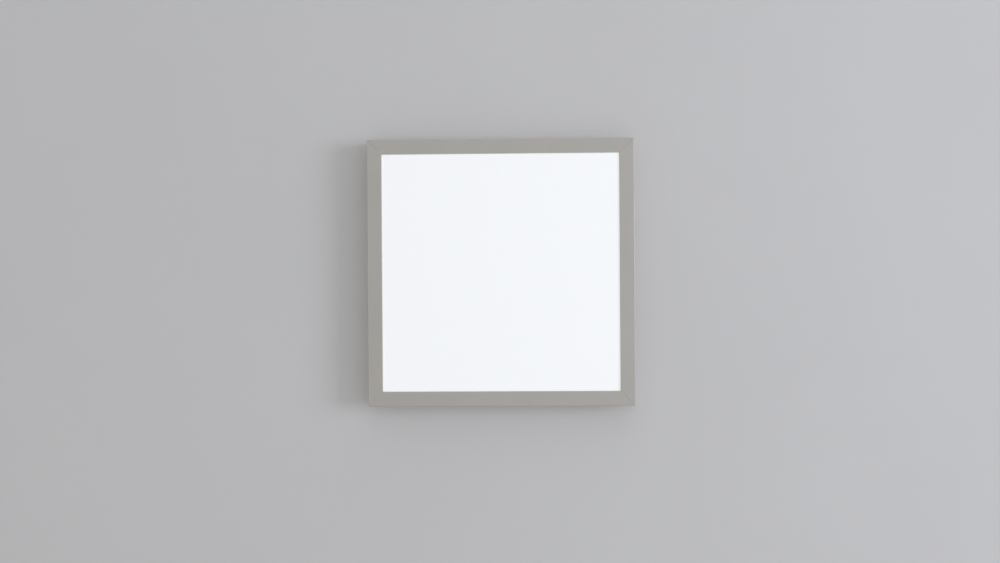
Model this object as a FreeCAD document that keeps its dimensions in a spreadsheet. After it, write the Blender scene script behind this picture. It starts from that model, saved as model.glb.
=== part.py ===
import FreeCAD, Part

import math
import os
import re

import Sketcher
from FreeCAD import Placement, Rotation, Vector

# Square ceiling light, edge lit, that swings down from a bracket on two hook hinges.
# Millimetres. The ceiling is the plane z = 0 and the light hangs below it, facing down.
# The hinges are on the -x side and the lock screws on the +x side.

SIZES = {
    # Frame extrusion
    "frame_side": 300,
    "frame_depth": 28.5,
    "ceiling_gap": 1.5,
    "bezel_width": 16.5,
    "lip_thick": 1.6,
    "wall_thick": 2,
    "chamber_width": 5,
    "rib_thick": 1.4,
    "shelf_thick": 1.4,
    "edge_radius": 0.5,
    "mitre_gap": 0.06,
    # Corner keys and their set screws
    "key_leg": 26,
    "key_play": 0.1,
    "key_screw_inset": 20,
    "set_screw_radius": 1.5,
    "set_screw_length": 5,
    "set_screw_sink": 0.2,
    "hex_key_flats": 1.5,
    "thread_play": 0.04,
    # Optics
    "diffuser_thick": 2,
    "guide_thick": 3,
    "reflector_thick": 0.3,
    "pad_thick": 2.3,
    "guide_end_inset": 12,
    "strip_thick": 1,
    "strip_play": 0.3,
    "chip_thick": 0.8,
    "chip_length": 3.5,
    "chip_width": 2.8,
    "chip_gap": 0.3,
    "chip_count": 36,
    "chip_end_inset": 6,
    # Back plate and its screws
    "back_plate_thick": 0.8,
    "back_plate_play": 0.3,
    "plate_screw_count": 3,
    "plate_screw_inset": 46,
    "plate_screw_radius": 1.25,
    "plate_screw_length": 5,
    "small_head_radius": 2.2,
    "small_head_height": 1.4,
    "recess_width": 0.7,
    "recess_depth": 0.8,
    "recess_share": 0.6,
    "hole_play": 0.15,
    # Hook hinges
    "hinge_inset": 5.7,
    "hinge_rise": 6,
    "hinge_edge": 18,
    "hinge_pin_radius": 1.5,
    "hinge_play": 0.1,
    "pin_head_radius": 2.6,
    "pin_head_thick": 1,
    "pin_fit": 0.03,
    "arm_width": 14,
    "arm_thick": 1.5,
    "arm_reach": 18.5,
    "arm_flange": 24,
    "arm_side_play": 0.4,
    "hook_mouth": 70,
    "lug_thick": 1.2,
    "lug_length": 30,
    "lug_edge": 1.8,
    "lug_rivet_inset": 5,
    "rivet_radius": 1.6,
    "rivet_head_radius": 2.8,
    "rivet_head_height": 0.8,
    "rivet_rim": 0.3,
    "rivet_spread": 10,
    "rivet_relief": 0.6,
    # Ceiling bracket
    "bracket_thick": 1.2,
    "bend_share": 0.75,
    "bracket_overhang": 0.2,
    "bracket_gap": 7,
    "tab_length": 29.6,
    "flange_drop": 10,
    "flange_end": 12,
    "ear_width": 24,
    "ear_drop": 13,
    "ear_gap": 0.4,
    "box_screws_wide": 88.9,
    "box_screws_narrow": 69.85,
    "box_slot_width": 5.2,
    "box_slot_length": 14,
    "ceiling_hole_inset": 60,
    "ceiling_hole_edge": 23,
    "ceiling_hole_radius": 2.5,
    "wire_hole_radius": 10.5,
    "grommet_bore": 8,
    "grommet_flange_radius": 13,
    "grommet_flange_thick": 1.8,
    "earth_screw_radius": 2,
    "earth_screw_length": 2.8,
    "earth_head_flats": 7,
    "earth_head_height": 2.6,
    "earth_face_radius": 4.3,
    "earth_face_thick": 0.8,
    "bracket_earth_x": 40,
    "bracket_earth_drop": 5.2,
    # Lock screws, at the hinges' spread on the other side
    "lock_drop": 8,
    "lock_screw_radius": 2,
    "lock_screw_length": 11,
    "lock_head_radius": 3.8,
    "lock_head_thick": 1,
    "lock_head_round": 0.4,
    "lock_slot_length": 5.4,
    "lock_slot_depth": 0.6,
    "lock_recess_depth": 1.3,
    "lock_gap": 0.35,
    "lock_play": 0.1,
    "notch_play": 0.4,
    "washer_radius": 4.2,
    "washer_thick": 0.5,
    "lock_nut_radius": 3.6,
    "lock_nut_thick": 3.2,
    # Driver case
    "driver_length": 150,
    "driver_width": 46,
    "driver_height": 15,
    "driver_x": 15,
    "driver_inset": 34,
    "case_thick": 0.8,
    "cover_play": 0.1,
    "cover_skirt": 6,
    "foot_length": 10,
    "foot_screw_spread": 30,
    "foot_screw_length": 3.2,
    "cover_screw_spread": 110,
    "cover_screw_drop": 3.6,
    "cover_screw_length": 3.2,
    "cover_screw_radius": 1.1,
    "cover_head_radius": 2,
    "cover_head_height": 0.9,
    # Driver board and what stands on it, placed from the nearer end and side of the case
    "board_thick": 1.6,
    "board_play": 1.2,
    "post_height": 1.8,
    "post_radius": 2.4,
    "post_pin_radius": 1.2,
    "post_pin_rise": 1,
    "post_inset": 5,
    "core_length": 22,
    "core_width": 12,
    "core_height": 8.2,
    "core_wall": 2.4,
    "winding_play": 0.15,
    "winding_overhang": 3,
    "core_yoke": 1.7,
    "bulk_radius": 4,
    "bulk_length": 20,
    "bulk_x": 45,
    "bulk_y": 11,
    "output_radius": 3.5,
    "output_length": 15,
    "output_x": 39,
    "output_y": 11,
    "choke_ring": 5.2,
    "choke_winding": 2.1,
    "choke_x": 23,
    "choke_y": 14,
    "film_length": 13,
    "film_width": 6,
    "film_height": 8,
    "film_x": 29,
    "film_y": 10,
    "sink_length": 20,
    "sink_height": 8,
    "sink_foot": 6,
    "sink_thick": 1.2,
    "sink_x": 35,
    "sink_y": 7,
    "chip_case_length": 10,
    "chip_case_width": 4.4,
    "chip_case_height": 5.8,
    # Mains terminal block
    "terminal_gap": 28,
    "terminal_y": 31,
    "terminal_pitch": 8,
    "terminal_depth": 18,
    "terminal_height": 13,
    "terminal_end": 5,
    "well_width": 5.2,
    "well_depth": 6.4,
    "well_floor": 2.5,
    "well_inset": 3.6,
    "wire_entry_radius": 1.6,
    "button_play": 0.15,
    "button_rise": 1.8,
    "button_length": 5.6,
    "button_slot_length": 3.4,
    "button_slot_depth": 0.4,
    "clamp_thick": 0.8,
    "clamp_leaf": 5,
    "clamp_play": 0.15,
    # Leads and what holds them
    "mains_lead_radius": 1,
    "led_lead_radius": 0.8,
    "lead_play": 0.1,
    "lead_end": 6,
    "mains_bend": 6,
    "led_bend": 4.5,
    "live_y": -8,
    "neutral_y": 5,
    "positive_y": 8,
    "negative_y": -6,
    "positive_turn": 16,
    "led_run_inset": 24,
    "bush_radius": 1.9,
    "bush_flange_radius": 3,
    "bush_flange_thick": 0.8,
    "clip_count": 3,
    "clip_inset": 52,
    "clip_length": 5,
    "clip_base": 12,
    "clip_base_thick": 1.2,
    "clip_wall": 1.2,
    "lug_ring_radius": 4,
    "lug_sheet": 0.8,
    "lug_neck": 1.5,
    "lug_barrel_length": 6,
    "lug_barrel_wall": 0.7,
    "lug_tongue_width": 2.9,
    "lug_y": 72,
}

TURN = 360
FRAME_SIDES = 4

doc = FreeCAD.newDocument("ceiling_light")
sheet = doc.addObject("Spreadsheet::Sheet", "Size")
for row, (word, size) in enumerate(SIZES.items(), start=1):
    sheet.set(f"A{row}", word)
    sheet.set(f"B{row}", str(size))
    sheet.setAlias(f"B{row}", word)
doc.recompute()

# Places that several pieces share, as formulas of the sheet's sizes
HALF = "(frame_side / 2)"
FRONT = "(-ceiling_gap - frame_depth)"
LIP_TOP = f"({FRONT} + lip_thick)"
GUIDE_LOW = f"({LIP_TOP} + diffuser_thick)"
GUIDE_TOP = f"({GUIDE_LOW} + guide_thick)"
PAD_LOW = f"({GUIDE_TOP} + reflector_thick)"
SHELF_TOP = f"({PAD_LOW} + pad_thick)"
PLATE_TOP = f"({SHELF_TOP} + back_plate_thick)"
CHAMBER_TOP = f"({SHELF_TOP} - shelf_thick)"
WALL_FACE = f"({HALF} - wall_thick)"
CHAMBER_MID = f"({WALL_FACE} - chamber_width / 2)"
RIB_FACE = f"({WALL_FACE} - chamber_width - rib_thick)"
STRIP_FACE = f"({RIB_FACE} - strip_thick)"
STACK_X = f"({STRIP_FACE} - chip_thick - chip_gap)"
STACK_Y = f"({HALF} - guide_end_inset)"
PLATE_EDGE = f"({WALL_FACE} - back_plate_play)"
PLATE_SCREW_X = f"({HALF} - plate_screw_inset)"
DRIVER_HIGH = f"({HALF} - driver_inset)"
DRIVER_Y = f"({DRIVER_HIGH} - driver_width / 2)"
DRIVER_LOW = f"({DRIVER_HIGH} - driver_width)"
BRACKET_HALF = f"({DRIVER_LOW} - bracket_gap)"
HINGE_X = f"(hinge_inset - {HALF})"
HINGE_Y = f"({BRACKET_HALF} - hinge_edge)"
HINGE_Z = f"({PLATE_TOP} + hinge_rise)"
HOOK_RADIUS = "(hinge_pin_radius + hinge_play)"
HOOK_OUTSIDE = f"({HOOK_RADIUS} + arm_thick)"
ARM_LEG = f"({HINGE_X} + arm_reach)"
LUG_TOP = f"({PLATE_TOP} + lug_thick)"
LUG_INSIDE = "(arm_width / 2 + arm_side_play)"
LUG_OUTSIDE = f"({LUG_INSIDE} + lug_thick)"
LUG_LEFT = f"({HINGE_X} - hinge_pin_radius - lug_edge)"
LUG_RIVET_X = f"({LUG_LEFT} + lug_length - lug_rivet_inset - rivet_spread / 2)"
ARM_RIVET_X = f"({ARM_LEG} + arm_flange / 2)"
EAR_FACE = f"({WALL_FACE} - ear_gap)"
EAR_BACK = f"({EAR_FACE} - bracket_thick)"
BRACKET_LEFT = f"({ARM_LEG} - bracket_overhang)"
BRACKET_RIGHT = f"({EAR_FACE} - tab_length)"
CEILING_HOLE_X = f"({HALF} - ceiling_hole_inset)"
CEILING_HOLE_Y = f"({BRACKET_HALF} - ceiling_hole_edge)"
LOCK_FLOOR = f"({HALF} - lock_recess_depth)"
WASHER_LOW = f"({LOCK_FLOOR} + lock_gap)"
WASHER_TOP = f"({WASHER_LOW} + washer_thick)"
DRIVER_LEFT = "(driver_x - driver_length / 2)"
DRIVER_RIGHT = "(driver_x + driver_length / 2)"
CASE_TOP = f"({PLATE_TOP} + driver_height)"
TRAY_TOP = f"({CASE_TOP} - case_thick - cover_play)"
FOOT_SCREW_X = "(driver_length / 2 + foot_length / 2)"
BOARD_LOW = f"({PLATE_TOP} + case_thick + post_height)"
BOARD_TOP = f"({BOARD_LOW} + board_thick)"
LEAD_Z = f"({BOARD_TOP} + mains_lead_radius + lead_play)"
TERMINAL_X = f"({DRIVER_LEFT} - terminal_gap)"
TERMINAL_FACE = "(terminal_y - terminal_depth / 2)"
TERMINAL_BACK = "(terminal_y + terminal_depth / 2)"
TERMINAL_TOP = f"({PLATE_TOP} + terminal_height)"
WELL_BACK = f"({TERMINAL_BACK} - well_inset)"
WELL_FACE = f"({WELL_BACK} - well_depth)"
WELL_LOW = f"({PLATE_TOP} + well_floor)"
BUSH_X = f"({STRIP_FACE} - led_lead_radius - lead_play)"
BUSH_Y = f"(({RIB_FACE} + {STACK_Y}) / 2)"
LED_RUN_Y = f"({HALF} - led_run_inset)"
LUG_BARREL_RADIUS = "(mains_lead_radius + lead_play + lug_barrel_wall)"
LUG_BARREL_Z = f"({PLATE_TOP} + {LUG_BARREL_RADIUS})"
LUG_BARREL_END = "(lug_y - lug_ring_radius - lug_neck)"
LUG_BARREL_FACE = f"({LUG_BARREL_END} - lug_barrel_length)"
EARTH_X = f"({TERMINAL_X} - terminal_pitch)"

ENDS = {"front": -1, "back": 1}
POLES = {"earth": -1, "neutral": 0, "live": 1}

pieces = []


def bound(formula):
    """The formula with each size read from the sheet."""
    return re.sub(r"[a-z_]+", lambda word: f"Size.{word[0]}" if word[0] in SIZES else word[0], formula)


def number(formula):
    """The formula's value now."""
    return float(sheet.evalExpression(formula))


def point(x, y, z):
    return Vector(number(x), number(y), number(z))


# Ways of making a piece


def new_body(label):
    """An empty body that becomes a piece of its own."""
    body = doc.addObject("PartDesign::Body", label)
    body.Label = label
    pieces.append(body)
    return body


def block(label, x_span, y_span, z_span):
    """A plain rectangular piece between its low and high places on each axis."""
    box = doc.addObject("Part::Box", label)
    box.Label = label
    for side, letter, (low, high) in zip(("Length", "Width", "Height"), "xyz", (x_span, y_span, z_span)):
        box.setExpression(side, bound(f"{high} - ({low})"))
        box.setExpression(f"Placement.Base.{letter}", bound(low))
    pieces.append(box)
    return box


def origin_feature(body, role):
    return next(feature for feature in body.Origin.OriginFeatures if feature.Role == role)


def sketch(body, plane, across="0", along="0", offset="0"):
    """A sketch on one of the body's own planes, moved in that plane and off it."""
    drawn = body.newObject("Sketcher::SketchObject", f"{body.Label}_sketch")
    drawn.AttachmentSupport = [(origin_feature(body, plane), "")]
    drawn.MapMode = "FlatFace"
    for letter, formula in zip("xyz", (across, along, offset)):
        drawn.setExpression(f"AttachmentOffset.Base.{letter}", bound(formula))
    return drawn


def hold(drawn, geometry, spot, across, along):
    """Hold one point of the sketch at its distances from the origin."""
    for kind, formula in (("DistanceX", across), ("DistanceY", along)):
        rule = Sketcher.Constraint(kind, -1, 1, geometry, spot, number(formula))
        index = drawn.addConstraint(rule)
        drawn.setExpression(f"Constraints[{index}]", bound(formula))


def polygon(drawn, corners):
    """A closed outline of straight lines through the corners."""
    first = drawn.GeometryCount
    count = len(corners)
    spots = [point(across, along, "0") for across, along in corners]
    for index in range(count):
        line = Part.LineSegment(spots[index], spots[(index + 1) % count])
        drawn.addGeometry(line, False)
    for index, (across, along) in enumerate(corners):
        end = first + index
        drawn.addConstraint(Sketcher.Constraint("Coincident", end, 2, first + (index + 1) % count, 1))
        hold(drawn, end, 1, across, along)


def rectangle(drawn, low_across, high_across, low_along, high_along):
    polygon(drawn, [(low_across, low_along), (high_across, low_along),
                    (high_across, high_along), (low_across, high_along)])


def circle(drawn, across, along, radius):
    middle = point(across, along, "0")
    ring = drawn.addGeometry(Part.Circle(middle, Vector(0, 0, 1), number(radius)), False)
    hold(drawn, ring, 3, across, along)
    rule = drawn.addConstraint(Sketcher.Constraint("Radius", ring, number(radius)))
    drawn.setExpression(f"Constraints[{rule}]", bound(radius))


def slot(drawn, across, along, length, width, direction):
    """A slot with round ends; its length is from end to end."""
    reach = f"({length} - {width}) / 2"
    step_across, step_along = (reach, "0") if direction == "across" else ("0", reach)
    starts = ((f"{across} - {step_across}", f"{along} - {step_along}"),
              (f"{across} + {step_across}", f"{along} + {step_along}"))
    radius = number(f"{width} / 2")
    turn = math.pi / 2 if direction == "across" else math.pi
    ends = []
    for spot in starts:
        whole = Part.Circle(point(*spot, "0"), Vector(0, 0, 1), radius)
        ends.append(drawn.addGeometry(Part.ArcOfCircle(whole, turn, turn + math.pi), False))
        turn += math.pi
    for near, far in (ends, ends[::-1]):
        line = drawn.addGeometry(Part.LineSegment(drawn.getPoint(near, 2), drawn.getPoint(far, 1)), False)
        drawn.addConstraint(Sketcher.Constraint("Tangent", near, 2, line, 1))
        drawn.addConstraint(Sketcher.Constraint("Tangent", line, 2, far, 1))
    for end, spot in zip(ends, starts):
        hold(drawn, end, 3, *spot)
    rule = drawn.addConstraint(Sketcher.Constraint("Radius", ends[0], radius))
    drawn.setExpression(f"Constraints[{rule}]", bound(f"{width} / 2"))


def pad(body, drawn, length, both=False, reverse=False):
    feature = body.newObject("PartDesign::Pad", f"{body.Label}_pad")
    feature.Profile = drawn
    feature.setExpression("Length", bound(length))
    feature.Midplane = both
    feature.Reversed = reverse
    return feature


def pocket(body, drawn, depth=None, reverse=False):
    """Cut against the sketch's normal to a depth, or right through both ways."""
    feature = body.newObject("PartDesign::Pocket", f"{body.Label}_pocket")
    feature.Profile = drawn
    if depth is None:
        feature.Type = "ThroughAll"
        feature.Midplane = True
    else:
        feature.setExpression("Length", bound(depth))
        feature.Reversed = reverse
    return feature


def turned(body, profile, x="0", y="0", z="0", axis="z"):
    """Turn an outline of (radius, height) about a line through the place, along z or y."""
    if axis == "z":
        drawn = sketch(body, "XZ_Plane", x, z, f"-({y})")
        polygon(drawn, profile)
        spindle = "V_Axis"
    else:
        drawn = sketch(body, "YZ_Plane", y, z, x)
        polygon(drawn, [(height, radius) for radius, height in profile])
        spindle = "H_Axis"
    feature = body.newObject("PartDesign::Revolution", f"{body.Label}_turned")
    feature.Profile = drawn
    feature.ReferenceAxis = (drawn, [spindle])
    feature.Angle = TURN
    return feature


def repeat_line(body, features, axis, length, count):
    """Copies in a row; the length is from the first to the last."""
    row = body.newObject("PartDesign::LinearPattern", f"{body.Label}_row")
    row.Originals = features
    row.Direction = (origin_feature(body, f"{axis}_Axis"), [""])
    row.setExpression("Length", bound(length))
    row.setExpression("Occurrences", bound(count))
    body.Tip = row
    return row


def repeat_turn(body, features, count):
    """Copies evenly round the z axis."""
    ring = body.newObject("PartDesign::PolarPattern", f"{body.Label}_ring")
    ring.Originals = features
    ring.Axis = (origin_feature(body, "Z_Axis"), [""])
    ring.Angle = TURN
    ring.Occurrences = count
    body.Tip = ring
    return ring


def fillet(body, spots, radius):
    """Round the edges that pass through the spots."""
    doc.recompute()
    base = body.Tip
    marks = [Part.Vertex(point(*spot)) for spot in spots]
    near = 1e-4
    names = [f"Edge{index}" for index, edge in enumerate(base.Shape.Edges, start=1)
             if any(edge.distToShape(mark)[0] < near for mark in marks)]
    feature = body.newObject("PartDesign::Fillet", f"{body.Label}_fillet")
    feature.Base = (base, names)
    feature.setExpression("Radius", bound(radius))
    return feature


def place(piece, x="0", y="0", z="0", axis=(0, 0, 1), angle=0):
    piece.Placement = Placement(point(x, y, z), Rotation(Vector(*axis), angle))
    for letter, formula in zip("xyz", (x, y, z)):
        if formula != "0":
            piece.setExpression(f"Placement.Base.{letter}", bound(formula))


def cross_recess(body, x, y, top, arm):
    """A cross slot sunk into a screw's head."""
    drawn = sketch(body, "XY_Plane", x, y, top)
    half = "(recess_width / 2)"
    polygon(drawn, [(f"-{arm}", f"-{half}"), (f"-{half}", f"-{half}"), (f"-{half}", f"-{arm}"),
                    (half, f"-{arm}"), (half, f"-{half}"), (arm, f"-{half}"), (arm, half), (half, half),
                    (half, arm), (f"-{half}", arm), (f"-{half}", half), (f"-{arm}", half)])
    return pocket(body, drawn, "recess_depth")


def pan_screw(body, x, y, seat, length, radius="plate_screw_radius"):
    """A small pan head screw standing on its seat, its shank pointing down."""
    head = "small_head_radius"
    rise = "small_head_height"
    tip = f"(-({length}))"
    shank = turned(body, [("0", tip), (radius, tip), (radius, "0"), (head, "0"),
                          (head, f"{rise} / 2"), (f"{head} - {rise} / 2", rise), ("0", rise)], x, y, seat)
    recess = cross_recess(body, x, y, f"{seat} + {rise}", f"({head} * recess_share)")
    return [shank, recess]


def hexagon(drawn, across, along, flats):
    """A hexagon by its width across flats."""
    radius = f"({flats} / sqrt(3))"
    side = f"({radius} / 2)"
    polygon(drawn, [(f"{across} + {radius}", along), (f"{across} + {side}", f"{along} + {flats} / 2"),
                    (f"{across} - {side}", f"{along} + {flats} / 2"), (f"{across} - {radius}", along),
                    (f"{across} - {side}", f"{along} - {flats} / 2"),
                    (f"{across} + {side}", f"{along} - {flats} / 2")])


def lead(label, spots, radius, bend):
    """An insulated lead: straight runs through the spots, joined by tangent arcs."""
    route = [point(*spot) for spot in spots]
    arc_radius = number(bend)
    edges = []
    start = route[0]
    for before, corner, after in zip(route, route[1:], route[2:]):
        back = (before - corner).normalize()
        onward = (after - corner).normalize()
        turn = math.pi - back.getAngle(onward)
        trim = arc_radius * math.tan(turn / 2)
        middle = corner + (back + onward).normalize() * (arc_radius / math.cos(turn / 2) - arc_radius)
        arc_start = corner + back * trim
        arc_end = corner + onward * trim
        edges.append(Part.LineSegment(start, arc_start).toShape())
        edges.append(Part.Arc(arc_start, middle, arc_end).toShape())
        start = arc_end
    edges.append(Part.LineSegment(start, route[-1]).toShape())
    path = Part.Wire(edges)
    ring = Part.makeCircle(number(radius), route[0], route[1] - route[0])
    solid = path.makePipeShell([Part.Wire(ring)], True, False)
    expected = math.pi * number(radius) ** 2 * path.Length
    print(label, "volume", round(solid.Volume, 2), "section times length", round(expected, 2))
    feature = doc.addObject("Part::Feature", label)
    feature.Label = label
    feature.Shape = solid
    pieces.append(feature)
    return feature


# Frame: four mitred lengths of one aluminium extrusion


def along_side(index):
    """Place of one back plate screw along a side of the frame."""
    return f"(2 * {PLATE_SCREW_X} * {index} / (plate_screw_count - 1) - {PLATE_SCREW_X})"


def frame_side(label, quarter_turns):
    """The side that faces -y, then turned to its place."""
    body = new_body(label)
    outside = f"(-{HALF})"
    profile = sketch(body, "YZ_Plane")
    inside = f"({outside} + bezel_width)"
    polygon(profile, [(outside, FRONT), (inside, FRONT), (inside, LIP_TOP), (f"-{RIB_FACE}", LIP_TOP),
                      (f"-{RIB_FACE}", SHELF_TOP), (f"-{WALL_FACE}", SHELF_TOP),
                      (f"-{WALL_FACE}", "-ceiling_gap"), (outside, "-ceiling_gap")])
    rectangle(profile, f"-{WALL_FACE}", f"-{WALL_FACE} + chamber_width", LIP_TOP, CHAMBER_TOP)
    pad(body, profile, "frame_side", both=True)
    fillet(body, [("0", outside, FRONT), ("0", outside, "-ceiling_gap"),
                  ("0", inside, FRONT)], "edge_radius")
    mitres = sketch(body, "XY_Plane")
    reach = "(bezel_width + lip_thick)"
    gap = "(mitre_gap / sqrt(2))"
    for end in ("", "-"):
        polygon(mitres, [(f"{end}({HALF} + lip_thick - {gap})", f"{outside} - lip_thick"),
                         (f"{end}({HALF} - {reach} - {gap})", f"{outside} + {reach}"),
                         (f"{end}({HALF} + lip_thick)", f"{outside} + {reach}"),
                         (f"{end}({HALF} + lip_thick)", f"{outside} - lip_thick")])
    pocket(body, mitres)
    holes = sketch(body, "XY_Plane", offset=SHELF_TOP)
    for end in ("", "-"):
        circle(holes, f"{end}({HALF} - key_screw_inset)", f"-{CHAMBER_MID}", "set_screw_radius + thread_play")
    for index in range(int(number("plate_screw_count"))):
        circle(holes, along_side(index), f"-{CHAMBER_MID}", "plate_screw_radius + thread_play")
    pocket(body, holes, "shelf_thick + key_play")
    place(body, angle=TURN / FRAME_SIDES * quarter_turns)
    return body


def lock_notches(body):
    """Open notches for the lock screws, each in a shallow recess for its washer, cut before the turn."""
    for radius, depth in (("washer_radius", "lock_recess_depth"),
                          ("lock_screw_radius", "(wall_thick + ear_gap)")):
        half = f"({radius} + notch_play)"
        drawn = sketch(body, "XZ_Plane", offset=HALF)
        for end in ("", "-"):
            rectangle(drawn, f"{end}{HINGE_Y} - {half}", f"{end}{HINGE_Y} + {half}",
                      "-lock_drop", "ceiling_gap")
        pocket(body, drawn, depth)
        drawn = sketch(body, "XZ_Plane", offset=HALF)
        for end in ("", "-"):
            circle(drawn, f"{end}{HINGE_Y}", "-lock_drop", half)
        pocket(body, drawn, depth)


def corner_pieces():
    """The keys that join the sides inside their chambers, and the screws that press on them."""
    keys = new_body("corner_keys")
    far = f"(-{WALL_FACE} + key_play)"
    near = f"(-{WALL_FACE} + chamber_width - key_play)"
    tip = f"({far} + key_leg)"
    drawn = sketch(keys, "XY_Plane", offset=f"{LIP_TOP} + key_play")
    polygon(drawn, [(far, far), (tip, far), (tip, near), (near, near), (near, tip), (far, tip)])
    leg = pad(keys, drawn, f"{CHAMBER_TOP} - {LIP_TOP} - 2 * key_play")
    along = f"(key_screw_inset - {HALF})"
    middle = f"(-{CHAMBER_MID})"
    spots = [(along, middle), (middle, along)]
    drawn = sketch(keys, "XY_Plane")
    for spot in spots:
        circle(drawn, *spot, "set_screw_radius + thread_play")
    bores = pocket(keys, drawn)
    repeat_turn(keys, [leg, bores], FRAME_SIDES)
    screws = new_body("corner_set_screws")
    drawn = sketch(screws, "XY_Plane", offset=f"{SHELF_TOP} - set_screw_sink")
    for spot in spots:
        circle(drawn, *spot, "set_screw_radius")
    shanks = pad(screws, drawn, "set_screw_length", reverse=True)
    drawn = sketch(screws, "XY_Plane", offset=f"{SHELF_TOP} - set_screw_sink")
    for spot in spots:
        hexagon(drawn, *spot, "hex_key_flats")
    sockets = pocket(screws, drawn, "recess_depth")
    repeat_turn(screws, [shanks, sockets], FRAME_SIDES)


frame_side("frame_front", 0)
lock_notches(frame_side("frame_right", 1))
frame_side("frame_back", 2)
frame_side("frame_left", 3)
corner_pieces()


# Optics: what lies in the frame, from the front to the back


def centred(reach):
    """The span that reaches as far either side of the middle."""
    return (f"(-{reach})", reach)


def about(middle, length):
    """The span of a length about its middle."""
    return (f"({middle} - {length} / 2)", f"({middle} + {length} / 2)")


def optics():
    stack = (centred(STACK_X), centred(STACK_Y))
    block("diffuser", *stack, (LIP_TOP, GUIDE_LOW))
    block("light_guide", *stack, (GUIDE_LOW, GUIDE_TOP))
    block("reflector_sheet", *stack, (GUIDE_TOP, PAD_LOW))
    long_way = centred(f"({RIB_FACE} - strip_play)")
    tall = (f"({LIP_TOP} + strip_play)", f"({SHELF_TOP} - strip_play)")
    block("led_strip_left", (f"(-{RIB_FACE})", f"(-{STRIP_FACE})"), long_way, tall)
    block("led_strip_right", (STRIP_FACE, RIB_FACE), long_way, tall)
    chips = new_body("led_chips")
    first = f"(-{STACK_Y} + chip_end_inset)"
    drawn = sketch(chips, "XY_Plane", offset=f"{GUIDE_LOW} + guide_thick / 2 - chip_width / 2")
    rectangle(drawn, f"-{STRIP_FACE}", f"-{STRIP_FACE} + chip_thick", first, f"{first} + chip_length")
    rectangle(drawn, f"{STRIP_FACE} - chip_thick", STRIP_FACE, first, f"{first} + chip_length")
    pair = pad(chips, drawn, "chip_width")
    repeat_line(chips, [pair], "Y", f"-2 * {first} - chip_length", "chip_count")
    jumper = doc.addObject("Part::Cylinder", "led_jumper_lead")
    jumper.Label = "led_jumper_lead"
    jumper.setExpression("Radius", bound("led_lead_radius"))
    jumper.setExpression("Height", bound(f"2 * {STRIP_FACE} - 2 * lead_play"))
    place(jumper, f"-{STRIP_FACE} + lead_play", f"-{BUSH_Y}", GUIDE_TOP, (0, 1, 0), 90)
    pieces.append(jumper)


optics()


# Back plate, with a hole for everything that is screwed or riveted to it

RIVET_SPOTS = [(f"{LUG_RIVET_X} {step} rivet_spread / 2", f"{end} * {HINGE_Y}")
               for step in "+-" for end in ENDS.values()]
FOOT_SPOTS = [(f"driver_x {step} {FOOT_SCREW_X}", f"{DRIVER_Y} {side} foot_screw_spread / 2")
              for step in "+-" for side in "+-"]
EARTH_SPOT = (EARTH_X, "lug_y")
BUSH_SPOTS = [(f"-{BUSH_X}", BUSH_Y), (BUSH_X, BUSH_Y)]


def plate_screw_spots():
    """The back plate's screws on the side that faces -y."""
    return [(along_side(index), f"-{CHAMBER_MID}") for index in range(int(number("plate_screw_count")))]


def back_of_light():
    plate = new_body("back_plate")
    drawn = sketch(plate, "XY_Plane", offset=SHELF_TOP)
    rectangle(drawn, f"-{PLATE_EDGE}", PLATE_EDGE, f"-{PLATE_EDGE}", PLATE_EDGE)
    for spot in RIVET_SPOTS:
        circle(drawn, *spot, "rivet_radius + thread_play")
    for spot in FOOT_SPOTS:
        circle(drawn, *spot, "plate_screw_radius + thread_play")
    circle(drawn, *EARTH_SPOT, "earth_screw_radius + thread_play")
    for spot in BUSH_SPOTS:
        circle(drawn, *spot, "bush_radius + thread_play")
    for along, inset in plate_screw_spots():
        for spot in ((along, inset), (along, f"-{inset}"), (inset, along), (f"-{inset}", along)):
            circle(drawn, *spot, "plate_screw_radius + hole_play")
    pad(plate, drawn, "back_plate_thick")
    screws = new_body("back_plate_screws")
    row = []
    for spot in plate_screw_spots():
        row += pan_screw(screws, *spot, PLATE_TOP, "plate_screw_length")
    repeat_turn(screws, row, FRAME_SIDES)


def foam_pad():
    """The pad that presses the optics together, punched where fixings come through the plate."""
    cushion = new_body("foam_pad")
    drawn = sketch(cushion, "XY_Plane", offset=PAD_LOW)
    rectangle(drawn, f"-{STACK_X}", STACK_X, f"-{STACK_Y}", STACK_Y)
    for spot in RIVET_SPOTS:
        circle(drawn, *spot, "rivet_head_radius + rivet_relief")
    for spot in FOOT_SPOTS:
        circle(drawn, *spot, "plate_screw_radius + rivet_relief")
    circle(drawn, *EARTH_SPOT, "earth_screw_radius + rivet_relief")
    pad(cushion, drawn, "pad_thick")


back_of_light()
foam_pad()


# Hook hinges: a pin in two lugs on the light, hung in two hooks on the bracket


def rivet(body, x, y, low, high, flush=False):
    """A rivet through the sheets between two heights, low heads on both sides or on the lower one only."""
    head = "rivet_head_radius"
    rise = "rivet_head_height"
    rim = "(rivet_head_height * rivet_rim)"
    edge = f"({head} - {rise} + {rim})"
    outline = [("0", f"{low} - {rise}"), (edge, f"{low} - {rise}"), (head, f"{low} - {rim}"), (head, low),
               ("rivet_radius", low), ("rivet_radius", high)]
    if not flush:
        outline += [(head, high), (head, f"{high} + {rim}"), (edge, f"{high} + {rise}")]
    outline.append(("0", high if flush else f"{high} + {rise}"))
    return turned(body, outline, x, y)


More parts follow.
